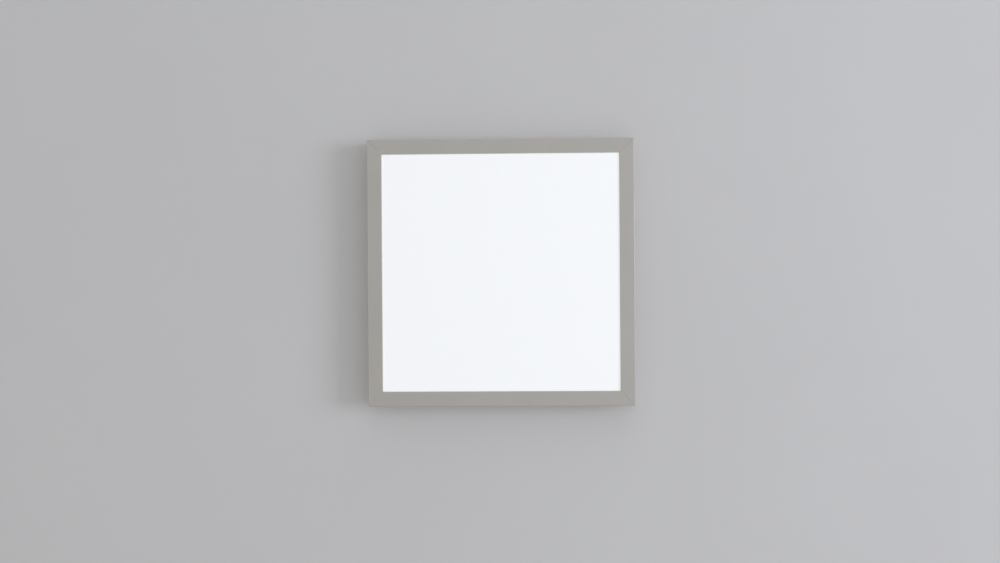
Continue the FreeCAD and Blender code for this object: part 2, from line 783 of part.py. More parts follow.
def hinge_lug(label, end):
    """A folded sheet with two cheeks that hold the pin, riveted to the back plate."""
    body = new_body(label)
    profile = sketch(body, "YZ_Plane", offset=LUG_LEFT)
    low = PLATE_TOP
    high = f"({HINGE_Z} + hinge_pin_radius + lug_edge)"
    polygon(profile, [(f"-{LUG_OUTSIDE}", low), (LUG_OUTSIDE, low), (LUG_OUTSIDE, high), (LUG_INSIDE, high),
                      (LUG_INSIDE, LUG_TOP), (f"-{LUG_INSIDE}", LUG_TOP), (f"-{LUG_INSIDE}", high),
                      (f"-{LUG_OUTSIDE}", high)])
    pad(body, profile, "lug_length")
    slope = sketch(body, "XZ_Plane")
    shoulder = f"({HINGE_X} + hinge_pin_radius + lug_edge)"
    polygon(slope, [(shoulder, f"{high} + lug_edge"), (shoulder, high),
                    (f"{LUG_LEFT} + lug_length - lug_edge", f"{LUG_TOP} + arm_thick / 2"),
                    (f"{LUG_LEFT} + lug_length + lug_edge", f"{LUG_TOP} + arm_thick / 2"),
                    (f"{LUG_LEFT} + lug_length + lug_edge", f"{high} + lug_edge")])
    pocket(body, slope)
    bore = sketch(body, "XZ_Plane")
    circle(bore, HINGE_X, HINGE_Z, "hinge_pin_radius + pin_fit")
    pocket(body, bore)
    holes = sketch(body, "XY_Plane", offset=PLATE_TOP)
    for step in "+-":
        circle(holes, f"{LUG_RIVET_X} {step} rivet_spread / 2", "0", "rivet_radius + thread_play")
    pocket(body, holes, "lug_thick", reverse=True)
    place(body, y=f"{end} * {HINGE_Y}")


def hinge_pin(label, end):
    """A headed pin along y, its far end spread so that it can't fall out."""
    body = new_body(label)
    shank = "hinge_pin_radius"
    head = "pin_head_radius"
    spread = f"({shank} + pin_head_thick / 2)"
    turned(body, [("0", f"-{LUG_OUTSIDE} - pin_head_thick"), (head, f"-{LUG_OUTSIDE} - pin_head_thick"),
                  (head, f"-{LUG_OUTSIDE}"), (shank, f"-{LUG_OUTSIDE}"), (shank, LUG_OUTSIDE),
                  (spread, LUG_OUTSIDE), (shank, f"{LUG_OUTSIDE} + pin_head_thick"),
                  ("0", f"{LUG_OUTSIDE} + pin_head_thick")], axis="y")
    place(body, HINGE_X, f"{end} * {HINGE_Y}", HINGE_Z)


def hinge_arm(label, end):
    """A strip that hooks under the pin and cranks up to the bracket."""
    body = new_body(label)
    under = f"({HINGE_Z} - {HOOK_RADIUS})"
    below = f"({HINGE_Z} - {HOOK_OUTSIDE})"
    seat = "(-bracket_thick)"
    leg_back = f"({ARM_LEG} + arm_thick)"
    right = f"({ARM_LEG} + arm_flange)"
    strip = sketch(body, "XZ_Plane")
    polygon(strip, [(HINGE_X, below), (leg_back, below), (leg_back, f"{seat} - arm_thick"),
                    (right, f"{seat} - arm_thick"), (right, seat), (ARM_LEG, seat), (ARM_LEG, under),
                    (HINGE_X, under)])
    pad(body, strip, "arm_width", both=True)
    fillet(body, [(ARM_LEG, "0", seat), (leg_back, "0", below)], "arm_thick")
    hook = sketch(body, "XZ_Plane")
    circle(hook, HINGE_X, HINGE_Z, HOOK_OUTSIDE)
    circle(hook, HINGE_X, HINGE_Z, HOOK_RADIUS)
    pad(body, hook, "arm_width", both=True)
    mouth = sketch(body, "XZ_Plane")
    far = f"({HOOK_OUTSIDE} * 2)"
    polygon(mouth, [(HINGE_X, HINGE_Z), (f"{HINGE_X} + {far}", f"{HINGE_Z} - {HOOK_RADIUS} + hinge_play / 2"),
                    (f"{HINGE_X} + {far}", f"{HINGE_Z} + {far}"),
                    (f"{HINGE_X} + {far} * cos(hook_mouth * 1deg)",
                     f"{HINGE_Z} + {far} * sin(hook_mouth * 1deg)")])
    pocket(body, mouth)
    holes = sketch(body, "XY_Plane")
    for step in "+-":
        circle(holes, f"{ARM_RIVET_X} {step} rivet_spread / 2", "0", "rivet_radius + thread_play")
    pocket(body, holes, "bracket_thick + 2 * arm_thick")
    place(body, y=f"{end} * {HINGE_Y}")


for name, end in ENDS.items():
    hinge_lug(f"hinge_lug_{name}", end)
    hinge_pin(f"hinge_pin_{name}", end)
    hinge_arm(f"hinge_arm_{name}", end)
lug_rivets = new_body("hinge_lug_rivets")
pair = [rivet(lug_rivets, f"{LUG_RIVET_X} {step} rivet_spread / 2", f"(-{HINGE_Y})", SHELF_TOP, LUG_TOP)
        for step in "+-"]
repeat_line(lug_rivets, pair, "Y", f"2 * {HINGE_Y}", "2")


# Bracket that is screwed to the ceiling


def ceiling_bracket():
    body = new_body("ceiling_bracket")
    half = BRACKET_HALF
    tab_low = f"({HINGE_Y} - ear_width / 2)"
    tab_high = f"({HINGE_Y} + ear_width / 2)"
    sheet_metal = sketch(body, "XY_Plane")
    left = BRACKET_LEFT
    right = BRACKET_RIGHT
    polygon(sheet_metal, [(left, f"-{half}"), (right, f"-{half}"), (right, f"-{tab_high}"),
                          (EAR_FACE, f"-{tab_high}"), (EAR_FACE, f"-{tab_low}"), (right, f"-{tab_low}"),
                          (right, tab_low), (EAR_FACE, tab_low), (EAR_FACE, tab_high), (right, tab_high),
                          (right, half), (left, half)])
    circle(sheet_metal, "0", "0", "wire_hole_radius + thread_play")
    for end in "+-":
        slot(sheet_metal, f"{end}box_screws_wide / 2", "0", "box_slot_length", "box_slot_width", "across")
        slot(sheet_metal, "0", f"{end}box_screws_narrow / 2", "box_slot_length", "box_slot_width", "along")
        for side in "+-":
            circle(sheet_metal, f"{end}{CEILING_HOLE_X}", f"{side}{CEILING_HOLE_Y}", "ceiling_hole_radius")
            circle(sheet_metal, f"{ARM_RIVET_X} {end} rivet_spread / 2", f"{side}{HINGE_Y}",
                   "rivet_radius + thread_play")
    pad(body, sheet_metal, "bracket_thick", reverse=True)
    ears = sketch(body, "YZ_Plane", offset=EAR_FACE)
    for side in ("", "-"):
        rectangle(ears, f"{side}{tab_low}", f"{side}{tab_high}", "-ear_drop", "0")
    pad(body, ears, "bracket_thick", reverse=True)
    flanges = sketch(body, "XZ_Plane", offset=half)
    rectangle(flanges, f"{left} + flange_end", f"{right} - flange_end", "-flange_drop", "0")
    pad(body, flanges, "bracket_thick", reverse=True)
    flanges = sketch(body, "XZ_Plane", offset=f"-{half}")
    rectangle(flanges, f"{left} + flange_end", f"{right} - flange_end", "-flange_drop", "0")
    pad(body, flanges, "bracket_thick")
    fillet(body, [(EAR_FACE, HINGE_Y, "0"), (EAR_FACE, f"-{HINGE_Y}", "0"),
                  ("0", half, "0"), ("0", f"-{half}", "0")], "bracket_thick * bend_share")
    bores = sketch(body, "YZ_Plane", offset=EAR_FACE)
    for side in ("", "-"):
        circle(bores, f"{side}{HINGE_Y}", "-lock_drop", "lock_screw_radius + lock_play")
    pocket(body, bores, "bracket_thick * 2")
    earth = sketch(body, "XZ_Plane", offset=half)
    circle(earth, "bracket_earth_x", "-bracket_earth_drop", "earth_screw_radius + thread_play")
    pocket(body, earth, "bracket_thick * 2")


def bracket_fittings():
    """What is riveted, pushed or screwed into the bracket."""
    rivets = new_body("arm_rivets")
    pair = [rivet(rivets, f"{ARM_RIVET_X} {step} rivet_spread / 2", f"(-{HINGE_Y})",
                  "(-bracket_thick - arm_thick)", "0", flush=True) for step in "+-"]
    repeat_line(rivets, pair, "Y", f"2 * {HINGE_Y}", "2")
    grommet = new_body("bracket_grommet")
    low = "(-bracket_thick - grommet_flange_thick)"
    lip = "(grommet_flange_thick / 2)"
    turned(grommet, [("grommet_bore", "0"), ("grommet_bore", f"{low} + {lip}"),
                     (f"grommet_bore + {lip}", low), (f"grommet_flange_radius - {lip}", low),
                     ("grommet_flange_radius", f"{low} + {lip}"),
                     ("grommet_flange_radius", "-bracket_thick"), ("wire_hole_radius", "-bracket_thick"),
                     ("wire_hole_radius", "0")])
    nuts = new_body("lock_nuts")
    drawn = sketch(nuts, "YZ_Plane", offset=EAR_BACK)
    for side in ("", "-"):
        spot = (f"{side}{HINGE_Y}", "-lock_drop")
        hexagon(drawn, *spot, "lock_nut_radius * 2")
        circle(drawn, *spot, "lock_screw_radius + lock_play")
    pad(nuts, drawn, "lock_nut_thick", reverse=True)


def earth_screw(label, x, y, z, turn_axis=(0, 0, 1), angle=0):
    """A hexagon head screw with a washer face, made upright and then turned to its place."""
    body = new_body(label)
    shank = sketch(body, "XY_Plane")
    circle(shank, "0", "0", "earth_screw_radius")
    pad(body, shank, "earth_screw_length", reverse=True)
    face = sketch(body, "XY_Plane")
    circle(face, "0", "0", "earth_face_radius")
    pad(body, face, "earth_face_thick")
    head = sketch(body, "XY_Plane")
    hexagon(head, "0", "0", "earth_head_flats")
    pad(body, head, "earth_head_height")
    cross_recess(body, "0", "0", "earth_head_height", "(earth_head_flats / 2 * recess_share)")
    place(body, x, y, z, turn_axis, angle)


ceiling_bracket()
bracket_fittings()
earth_screw("bracket_earth_screw", "bracket_earth_x", f"-{BRACKET_HALF}", "-bracket_earth_drop",
            (1, 0, 0), TURN / 4)


# Lock screws and their washers


def lock_set(name, end):
    washer = new_body(f"lock_washer_{name}")
    ring = sketch(washer, "YZ_Plane", offset=WASHER_LOW)
    circle(ring, "0", "0", "washer_radius")
    circle(ring, "0", "0", "lock_screw_radius + lock_play")
    pad(washer, ring, "washer_thick")
    place(washer, y=f"{end} * {HINGE_Y}", z="-lock_drop")
    screw = new_body(f"lock_screw_{name}")
    shank = sketch(screw, "YZ_Plane", offset=WASHER_TOP)
    circle(shank, "0", "0", "lock_screw_radius")
    pad(screw, shank, "lock_screw_length", reverse=True)
    head = sketch(screw, "YZ_Plane", offset=WASHER_TOP)
    circle(head, "0", "0", "lock_head_radius")
    pad(screw, head, "lock_head_thick")
    fillet(screw, [(f"{WASHER_TOP} + lock_head_thick", "lock_head_radius", "0")], "lock_head_round")
    drawn = sketch(screw, "YZ_Plane", offset=f"{WASHER_TOP} + lock_head_thick")
    half = "(recess_width / 2)"
    rectangle(drawn, "-lock_slot_length / 2", "lock_slot_length / 2", f"-{half}", half)
    pocket(screw, drawn, "lock_slot_depth")
    place(screw, y=f"{end} * {HINGE_Y}", z="-lock_drop")


for name, end in ENDS.items():
    lock_set(name, end)


# Driver: a sheet metal tray and cover with the circuit board inside


def driver_case():
    tray = new_body("driver_tray")
    floor = sketch(tray, "XY_Plane", offset=PLATE_TOP)
    rectangle(floor, f"{DRIVER_LEFT} - foot_length", f"{DRIVER_RIGHT} + foot_length", DRIVER_LOW, DRIVER_HIGH)
    for spot in FOOT_SPOTS:
        circle(floor, *spot, "plate_screw_radius + hole_play")
    pad(tray, floor, "case_thick")
    walls = sketch(tray, "XY_Plane", offset=PLATE_TOP)
    rectangle(walls, DRIVER_LEFT, DRIVER_RIGHT, DRIVER_LOW, DRIVER_HIGH)
    rectangle(walls, f"{DRIVER_LEFT} + case_thick", f"{DRIVER_RIGHT} - case_thick",
              f"{DRIVER_LOW} + case_thick", f"{DRIVER_HIGH} - case_thick")
    pad(tray, walls, f"{TRAY_TOP} - {PLATE_TOP}")
    for edge, radius, lines in ((DRIVER_LEFT, "mains_lead_radius", ("live_y", "neutral_y")),
                                (DRIVER_RIGHT, "led_lead_radius", ("positive_y", "negative_y"))):
        holes = sketch(tray, "YZ_Plane", offset=f"{edge} - case_thick")
        for lead_y in lines:
            circle(holes, f"{DRIVER_Y} + {lead_y}", LEAD_Z, f"{radius} + 2 * lead_play")
        pocket(tray, holes, "3 * case_thick", reverse=True)
    screw_holes = sketch(tray, "XZ_Plane")
    for step in "+-":
        circle(screw_holes, f"driver_x {step} cover_screw_spread / 2", f"{CASE_TOP} - cover_screw_drop",
               "cover_screw_radius + thread_play")
    pocket(tray, screw_holes)
    cover = new_body("driver_cover")
    low = f"({DRIVER_LOW} - cover_play)"
    high = f"({DRIVER_HIGH} + cover_play)"
    low_face = f"({low} - case_thick)"
    high_face = f"({high} + case_thick)"
    under = f"({CASE_TOP} - case_thick)"
    skirt = f"({CASE_TOP} - cover_skirt)"
    profile = sketch(cover, "YZ_Plane", offset=DRIVER_LEFT)
    polygon(profile, [(low_face, skirt), (low, skirt), (low, under), (high, under), (high, skirt),
                      (high_face, skirt), (high_face, CASE_TOP), (low_face, CASE_TOP)])
    pad(cover, profile, "driver_length")
    screw_holes = sketch(cover, "XZ_Plane")
    for step in "+-":
        circle(screw_holes, f"driver_x {step} cover_screw_spread / 2", f"{CASE_TOP} - cover_screw_drop",
               "cover_screw_radius + hole_play")
    pocket(cover, screw_holes)
    fillet(cover, [("driver_x", low_face, CASE_TOP), ("driver_x", high_face, CASE_TOP)],
           "case_thick * bend_share")


def driver_screws():
    feet = new_body("driver_screws")
    pair = []
    for side in "+-":
        pair += pan_screw(feet, f"driver_x - {FOOT_SCREW_X}", f"{DRIVER_Y} {side} foot_screw_spread / 2",
                          f"{PLATE_TOP} + case_thick", "foot_screw_length")
    repeat_line(feet, pair, "X", f"2 * {FOOT_SCREW_X}", "2")
    cover = new_body("driver_cover_screws")
    pair = []
    for side, wall in (("-", f"({DRIVER_LOW} - cover_play - case_thick)"),
                       ("", f"({DRIVER_HIGH} + cover_play + case_thick)")):
        rise = "cover_head_height"
        head = "cover_head_radius"
        inward = "cover_screw_length" if side == "-" else "(-cover_screw_length)"
        outward = "(-cover_head_height)" if side == "-" else "cover_head_height"
        pair.append(turned(cover, [("0", inward), ("cover_screw_radius", inward), ("cover_screw_radius", "0"),
                                   (head, "0"), (f"{head} - {rise} / 2", outward), ("0", outward)],
                           "driver_x - cover_screw_spread / 2", wall, f"{CASE_TOP} - cover_screw_drop", "y"))
    repeat_line(cover, pair, "X", "cover_screw_spread", "2")


def circuit_board():
    edge_x = "(driver_length / 2 - case_thick - board_play)"
    edge_y = "(driver_width / 2 - case_thick - board_play)"
    post_x = f"({edge_x} - post_inset)"
    post_y = f"({edge_y} - post_inset)"
    board = new_body("circuit_board")
    drawn = sketch(board, "XY_Plane", offset=BOARD_LOW)
    rectangle(drawn, f"driver_x - {edge_x}", f"driver_x + {edge_x}",
              f"{DRIVER_Y} - {edge_y}", f"{DRIVER_Y} + {edge_y}")
    for step in "+-":
        for side in "+-":
            circle(drawn, f"driver_x {step} {post_x}", f"{DRIVER_Y} {side} {post_y}",
                   "post_pin_radius + thread_play")
    pad(board, drawn, "board_thick")
    posts = new_body("board_posts")
    pair = []
    for side in "+-":
        pin = "post_pin_radius"
        pin_top = "(post_height + board_thick + post_pin_rise)"
        pair.append(turned(posts, [("0", "0"), ("post_radius", "0"), ("post_radius", "post_height"),
                                   (pin, "post_height"), (pin, f"{pin_top} - {pin} / 2"),
                                   (f"{pin} / 2", pin_top), ("0", pin_top)],
                           f"driver_x - {post_x}", f"{DRIVER_Y} {side} {post_y}",
                           f"{PLATE_TOP} + case_thick"))
    repeat_line(posts, pair, "X", f"2 * {post_x}", "2")


def lying_can(label, x, y, radius, length):
    """A round capacitor that lies along x on the board."""
    can = doc.addObject("Part::Cylinder", label)
    can.Label = label
    can.setExpression("Radius", bound(radius))
    can.setExpression("Height", bound(length))
    place(can, f"{x} - {length} / 2", y, f"{BOARD_TOP} + {radius}", (0, 1, 0), TURN / 4)
    pieces.append(can)


def board_parts():
    core = new_body("transformer_core")
    half_x = "(core_length / 2)"
    profile = sketch(core, "XZ_Plane", offset=f"core_width / 2 - {DRIVER_Y}")
    top = f"({BOARD_TOP} + core_height)"
    rectangle(profile, f"driver_x - {half_x}", f"driver_x + {half_x}", BOARD_TOP, top)
    rectangle(profile, f"driver_x - {half_x} + core_wall", f"driver_x + {half_x} - core_wall",
              f"{BOARD_TOP} + core_yoke", f"{top} - core_yoke")
    pad(core, profile, "core_width", reverse=True)
    winding = new_body("transformer_winding")
    inset = "(core_wall + winding_play)"
    drawn = sketch(winding, "XY_Plane", offset=f"{BOARD_TOP} + core_yoke + winding_play")
    deep = "(core_width / 2 + winding_overhang)"
    rectangle(drawn, f"driver_x - {half_x} + {inset}", f"driver_x + {half_x} - {inset}",
              f"{DRIVER_Y} - {deep}", f"{DRIVER_Y} + {deep}")
    pad(winding, drawn, "core_height - 2 * core_yoke - 2 * winding_play")
    lying_can("bulk_capacitor", f"({DRIVER_LEFT} + bulk_x)", f"({DRIVER_LOW} + bulk_y)", "bulk_radius",
              "bulk_length")
    lying_can("output_capacitor", f"({DRIVER_RIGHT} - output_x)", f"({DRIVER_HIGH} - output_y)",
              "output_radius", "output_length")
    choke = doc.addObject("Part::Torus", "line_choke")
    choke.Label = "line_choke"
    choke.setExpression("Radius1", bound("choke_ring"))
    choke.setExpression("Radius2", bound("choke_winding"))
    place(choke, f"{DRIVER_LEFT} + choke_x", f"{DRIVER_LOW} + choke_y", f"{BOARD_TOP} + choke_winding")
    pieces.append(choke)
    block("film_capacitor", about(f"({DRIVER_LEFT} + film_x)", "film_length"),
          about(f"({DRIVER_HIGH} - film_y)", "film_width"), (BOARD_TOP, f"({BOARD_TOP} + film_height)"))
    sink = new_body("heat_sink")
    middle = f"({DRIVER_RIGHT} - sink_x)"
    wall = f"({DRIVER_LOW} + sink_y)"
    foot_top = f"({BOARD_TOP} + sink_thick)"
    profile = sketch(sink, "YZ_Plane", offset=f"{middle} - sink_length / 2")
    toe = f"({wall} + sink_foot)"
    face = f"({wall} + sink_thick)"
    top = f"({BOARD_TOP} + sink_height)"
    polygon(profile, [(wall, BOARD_TOP), (toe, BOARD_TOP), (toe, foot_top), (face, foot_top), (face, top),
                      (wall, top)])
    pad(sink, profile, "sink_length")
    block("transistor", about(middle, "chip_case_length"), (face, f"({face} + chip_case_width)"),
          (foot_top, f"({foot_top} + chip_case_height)"))


driver_case()
driver_screws()
circuit_board()
board_parts()


# Terminal block for the supply wires


def pole_x(pole):
    return f"({TERMINAL_X} + terminal_pitch * {pole})"


def terminal_block():
    housing = new_body("terminal_housing")
    half = "(terminal_pitch + terminal_end)"
    drawn = sketch(housing, "XY_Plane", offset=PLATE_TOP)
    rectangle(drawn, f"{TERMINAL_X} - {half}", f"{TERMINAL_X} + {half}", TERMINAL_FACE, TERMINAL_BACK)
    pad(housing, drawn, "terminal_height")
    fillet(housing, [(f"{TERMINAL_X} {step} {half}", edge, f"{PLATE_TOP} + terminal_height / 2")
                     for step in "+-" for edge in (TERMINAL_FACE, TERMINAL_BACK)], "clamp_thick")
    wells = sketch(housing, "XY_Plane", offset=TERMINAL_TOP)
    for pole in POLES.values():
        rectangle(wells, f"{pole_x(pole)} - well_width / 2", f"{pole_x(pole)} + well_width / 2",
                  WELL_FACE, WELL_BACK)
    pocket(housing, wells, "terminal_height - well_floor")
    entries = sketch(housing, "XZ_Plane", offset=f"-{TERMINAL_FACE}")
    for pole in POLES.values():
        circle(entries, pole_x(pole), LEAD_Z, "wire_entry_radius")
    pocket(housing, entries, f"{WELL_FACE} - {TERMINAL_FACE} + well_depth / 2")
    exits = sketch(housing, "XZ_Plane", offset=f"-{TERMINAL_BACK}")
    for pole in POLES.values():
        circle(exits, pole_x(pole), LEAD_Z, "mains_lead_radius + lead_play")
    pocket(housing, exits, "well_inset + well_depth / 2", reverse=True)
    clamps = new_body("terminal_clamps")
    deep = f"({WELL_BACK} - clamp_play)"
    profile = sketch(clamps, "YZ_Plane", offset=f"{pole_x(-1)} - well_width / 2 + clamp_play")
    near = f"({WELL_FACE} + clamp_play)"
    leaf_face = f"({deep} - clamp_thick)"
    leaf_top = f"({WELL_LOW} + clamp_leaf)"
    floor_top = f"({WELL_LOW} + clamp_thick)"
    polygon(profile, [(near, WELL_LOW), (deep, WELL_LOW), (deep, leaf_top), (leaf_face, leaf_top),
                      (leaf_face, floor_top), (near, floor_top)])
    clamp = pad(clamps, profile, "well_width - 2 * clamp_play")
    repeat_line(clamps, [clamp], "X", "2 * terminal_pitch", "3")


def terminal_button(name, pole):
    """A release button that pushes down into its well."""
    button = new_body(f"terminal_button_{name}")
    drawn = sketch(button, "XY_Plane", offset=f"{TERMINAL_TOP} + button_rise")
    half_x = "(well_width / 2 - button_play)"
    rectangle(drawn, f"{pole_x(pole)} - {half_x}", f"{pole_x(pole)} + {half_x}",
              f"{WELL_FACE} + button_play", f"{WELL_BACK} - button_play")
    pad(button, drawn, "button_length", reverse=True)
    dish = sketch(button, "XY_Plane", offset=f"{TERMINAL_TOP} + button_rise")
    half = "(recess_width / 2)"
    rectangle(dish, f"{pole_x(pole)} - button_slot_length / 2", f"{pole_x(pole)} + button_slot_length / 2",
              f"({WELL_FACE} + {WELL_BACK}) / 2 - {half}", f"({WELL_FACE} + {WELL_BACK}) / 2 + {half}")
    pocket(button, dish, "button_slot_depth")


terminal_block()
for name, pole in POLES.items():
    terminal_button(name, pole)


# Leads, each whole along its route, and what guides them


def mains_leads():
    start = f"({WELL_BACK} - clamp_play + lead_play)"
    inside = f"({DRIVER_LEFT} + case_thick + lead_end)"
    for name in ("live", "neutral"):
        pole = pole_x(POLES[name])
        across = f"({DRIVER_Y} + {name}_y)"
        lead(f"{name}_lead", [(pole, start, LEAD_Z), (pole, across, LEAD_Z), (inside, across, LEAD_Z)],
             "mains_lead_radius", "mains_bend")
    down = f"({LEAD_Z} - {LUG_BARREL_Z})"
    bend_y = f"({LUG_BARREL_FACE} - lead_end / 2)"
    end = f"({LUG_BARREL_END} - lead_play)"
    lead("earth_lead", [(EARTH_X, start, LEAD_Z), (EARTH_X, f"{bend_y} - 2 * {down}", LEAD_Z),
                        (EARTH_X, bend_y, LUG_BARREL_Z), (EARTH_X, end, LUG_BARREL_Z)],
         "mains_lead_radius", "mains_bend")


def led_leads():
    inside = f"({DRIVER_RIGHT} - case_thick - lead_end)"
    low = f"({GUIDE_TOP} - chip_width)"
    high_y = f"({DRIVER_Y} + positive_y)"
    low_y = f"({DRIVER_Y} + negative_y)"
    turn_x = f"({DRIVER_RIGHT} + positive_turn)"
    lead("led_lead_positive", [(inside, high_y, LEAD_Z), (turn_x, high_y, LEAD_Z),
                               (turn_x, LED_RUN_Y, LEAD_Z), (f"-{BUSH_X}", LED_RUN_Y, LEAD_Z),
                               (f"-{BUSH_X}", BUSH_Y, LEAD_Z),
                               (f"-{BUSH_X}", BUSH_Y, low)], "led_lead_radius", "led_bend")
    lead("led_lead_negative", [(inside, low_y, LEAD_Z), (BUSH_X, low_y, LEAD_Z), (BUSH_X, BUSH_Y, LEAD_Z),
                               (BUSH_X, BUSH_Y, low)], "led_lead_radius", "led_bend")


def lead_guides():
    bushes = new_body("lead_bushes")
    bore = "(led_lead_radius + lead_play)"
    top = f"({PLATE_TOP} + bush_flange_thick)"
    first = turned(bushes, [(bore, SHELF_TOP), ("bush_radius", SHELF_TOP), ("bush_radius", PLATE_TOP),
                            ("bush_flange_radius", PLATE_TOP),
                            ("bush_flange_radius", f"{top} - bush_flange_thick / 2"),
                            ("bush_flange_radius - bush_flange_thick / 2", top), (bore, top)],
                   f"-{BUSH_X}", BUSH_Y)
    repeat_line(bushes, [first], "X", f"2 * {BUSH_X}", "2")
    clips = new_body("lead_clips")
    start = f"(clip_inset - {HALF})"
    profile = sketch(clips, "YZ_Plane", offset=f"{start} - clip_length / 2")
    foot = "(clip_base / 2)"
    cheek = "(led_lead_radius + lead_play + clip_wall)"
    top = f"({LEAD_Z} + {cheek})"
    polygon(profile, [(f"{LED_RUN_Y} - {foot}", PLATE_TOP), (f"{LED_RUN_Y} + {foot}", PLATE_TOP),
                      (f"{LED_RUN_Y} + {foot}", f"{PLATE_TOP} + clip_base_thick"),
                      (f"{LED_RUN_Y} + {cheek}", f"{PLATE_TOP} + clip_base_thick"),
                      (f"{LED_RUN_Y} + {cheek}", top), (f"{LED_RUN_Y} - {cheek}", top),
                      (f"{LED_RUN_Y} - {cheek}", f"{PLATE_TOP} + clip_base_thick"),
                      (f"{LED_RUN_Y} - {foot}", f"{PLATE_TOP} + clip_base_thick")])
    circle(profile, LED_RUN_Y, LEAD_Z, "led_lead_radius + lead_play")
    clip = pad(clips, profile, "clip_length")
    repeat_line(clips, [clip], "X", "frame_side - 2 * clip_inset", "clip_count")


def earth_lug():
    """A ring that the earth screw clamps, with a barrel crimped on the earth lead."""
    body = new_body("earth_lug")
    ring = sketch(body, "XY_Plane", offset=PLATE_TOP)
    circle(ring, EARTH_X, "lug_y", "lug_ring_radius")
    pad(body, ring, "lug_sheet")
    tongue = sketch(body, "XY_Plane", offset=PLATE_TOP)
    rectangle(tongue, f"{EARTH_X} - lug_tongue_width / 2", f"{EARTH_X} + lug_tongue_width / 2",
              f"{LUG_BARREL_END} - lug_sheet", "lug_y")
    pad(body, tongue, "lug_sheet")
    barrel = sketch(body, "XZ_Plane", offset=f"-{LUG_BARREL_FACE}")
    circle(barrel, EARTH_X, LUG_BARREL_Z, LUG_BARREL_RADIUS)
    pad(body, barrel, "lug_barrel_length", reverse=True)
    bore = sketch(body, "XZ_Plane", offset=f"-{LUG_BARREL_FACE}")
    circle(bore, EARTH_X, LUG_BARREL_Z, "mains_lead_radius + lead_play")
    pocket(body, bore, "lug_barrel_length")
    hole = sketch(body, "XY_Plane", offset=PLATE_TOP)
    circle(hole, EARTH_X, "lug_y", "earth_screw_radius + hole_play")
    pocket(body, hole, "lug_sheet", reverse=True)


mains_leads()
led_leads()
lead_guides()
earth_lug()
earth_screw("earth_screw", EARTH_X, "lug_y", f"{PLATE_TOP} + lug_sheet")


# Every feature and piece is checked before anything is written

doc.recompute()
failed = [item.Name for item in doc.Objects if "Invalid" in item.State or "Error" in item.State]
for piece in pieces:
    if piece.Shape.isNull() or not piece.Shape.isValid():
        failed.append(piece.Label)
if failed:
    raise RuntimeError(f"not made: {', '.join(failed)}")
os.makedirs("parts", exist_ok=True)
for piece in pieces:
    piece.Shape.exportStep(f"parts/{piece.Label}.step")
print(len(pieces), "pieces")
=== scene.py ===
import math

import bmesh
import bpy
from mathutils import Matrix, Vector, noise
from mathutils.geometry import tessellate_polygon


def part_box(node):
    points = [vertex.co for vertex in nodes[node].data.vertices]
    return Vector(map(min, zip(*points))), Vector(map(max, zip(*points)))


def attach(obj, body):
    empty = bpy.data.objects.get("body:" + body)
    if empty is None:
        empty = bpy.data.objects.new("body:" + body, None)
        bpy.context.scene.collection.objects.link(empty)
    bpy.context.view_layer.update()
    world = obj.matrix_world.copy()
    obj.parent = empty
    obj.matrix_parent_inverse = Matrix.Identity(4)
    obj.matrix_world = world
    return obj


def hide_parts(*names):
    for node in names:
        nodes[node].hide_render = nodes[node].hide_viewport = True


# Square LED ceiling light, seen from straight below. Metres, with +Z up; the ceiling is the plane z = 0.

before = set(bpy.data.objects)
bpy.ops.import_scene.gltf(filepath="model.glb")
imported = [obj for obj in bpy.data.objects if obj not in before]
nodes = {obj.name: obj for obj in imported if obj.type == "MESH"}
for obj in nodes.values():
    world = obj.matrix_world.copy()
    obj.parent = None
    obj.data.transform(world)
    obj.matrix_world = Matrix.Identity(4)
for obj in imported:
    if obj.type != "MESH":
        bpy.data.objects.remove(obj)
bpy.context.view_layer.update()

MM = 0.001

# Where the photograph was taken from
CAMERA_PLACE = (0.0294, 0.0102, -1.23)
CAMERA_YAW = math.radians(1.448)
CAMERA_ROLL = math.radians(-0.369)
CAMERA_LENS = 38.51

# Surroundings
CEILING_COLOUR = (0.604, 0.596, 0.58)
CEILING_HALF = 60.0
CEILING_RISE = 0.4 * MM
FLOOR_COLOUR = (0.76, 0.82, 0.91)
FLOOR_HALF = 60.0
FLOOR_HEIGHT = -2.5
BACKDROP_COLOUR = (0.80, 0.80, 0.80)
WORLD_COLOUR = (1.0, 0.912, 0.81)
WORLD_STRENGTH = 0.705
DAYLIGHT = (0.83, 0.86, 1.0)
SKYLIGHT = (0.82, 0.93, 1.0)
# Soft boxes that face the light: place, width in metres, power in watts and colour
LAMPS = {
    "window_key": ((3.0, -0.2, -1.8), 1.3, 48, DAYLIGHT),
    "side_fill": ((0.3, -3.0, -1.4), 2.0, 8, DAYLIGHT),
    "overhead": ((1.2, -1.6, 2.2), 2.0, 42, SKYLIGHT),
}

# Finishes. The lit panel's glow grows from RIM_START to RIM_END, measured from its middle
FRAME_COLOUR = (0.497, 0.471, 0.424)
FRAME_FINISH = {"metallic": 0.6, "roughness": 0.42, "spread": 0.02, "spread_scale": 25.0, "wear": 0.03,
                "grain": 0.14, "grain_scale": 3200.0}
BRUSHED = 0.03
OPAL_COLOUR = (0.66, 0.665, 0.635)
GLOW = 0.39
GLOW_COLOUR = (0.922, 0.94, 1.0)
RIM_GLOW = GLOW * 1.09
RIM_COLOUR = (0.95, 0.96, 0.98)
RIM_START = 129.5 * MM
RIM_END = 133.5 * MM
CLEARNESS = 0.85
CRYSTAL_DRIFT = 5 * MM


# Materials


def add(tree, kind, **settings):
    """A shader node with its plain settings and its sockets' own values."""
    node = tree.nodes.new(kind)
    for name, setting in settings.items():
        if hasattr(node, name):
            setattr(node, name, setting)
        else:
            node.inputs[name.title()].default_value = setting
    return node


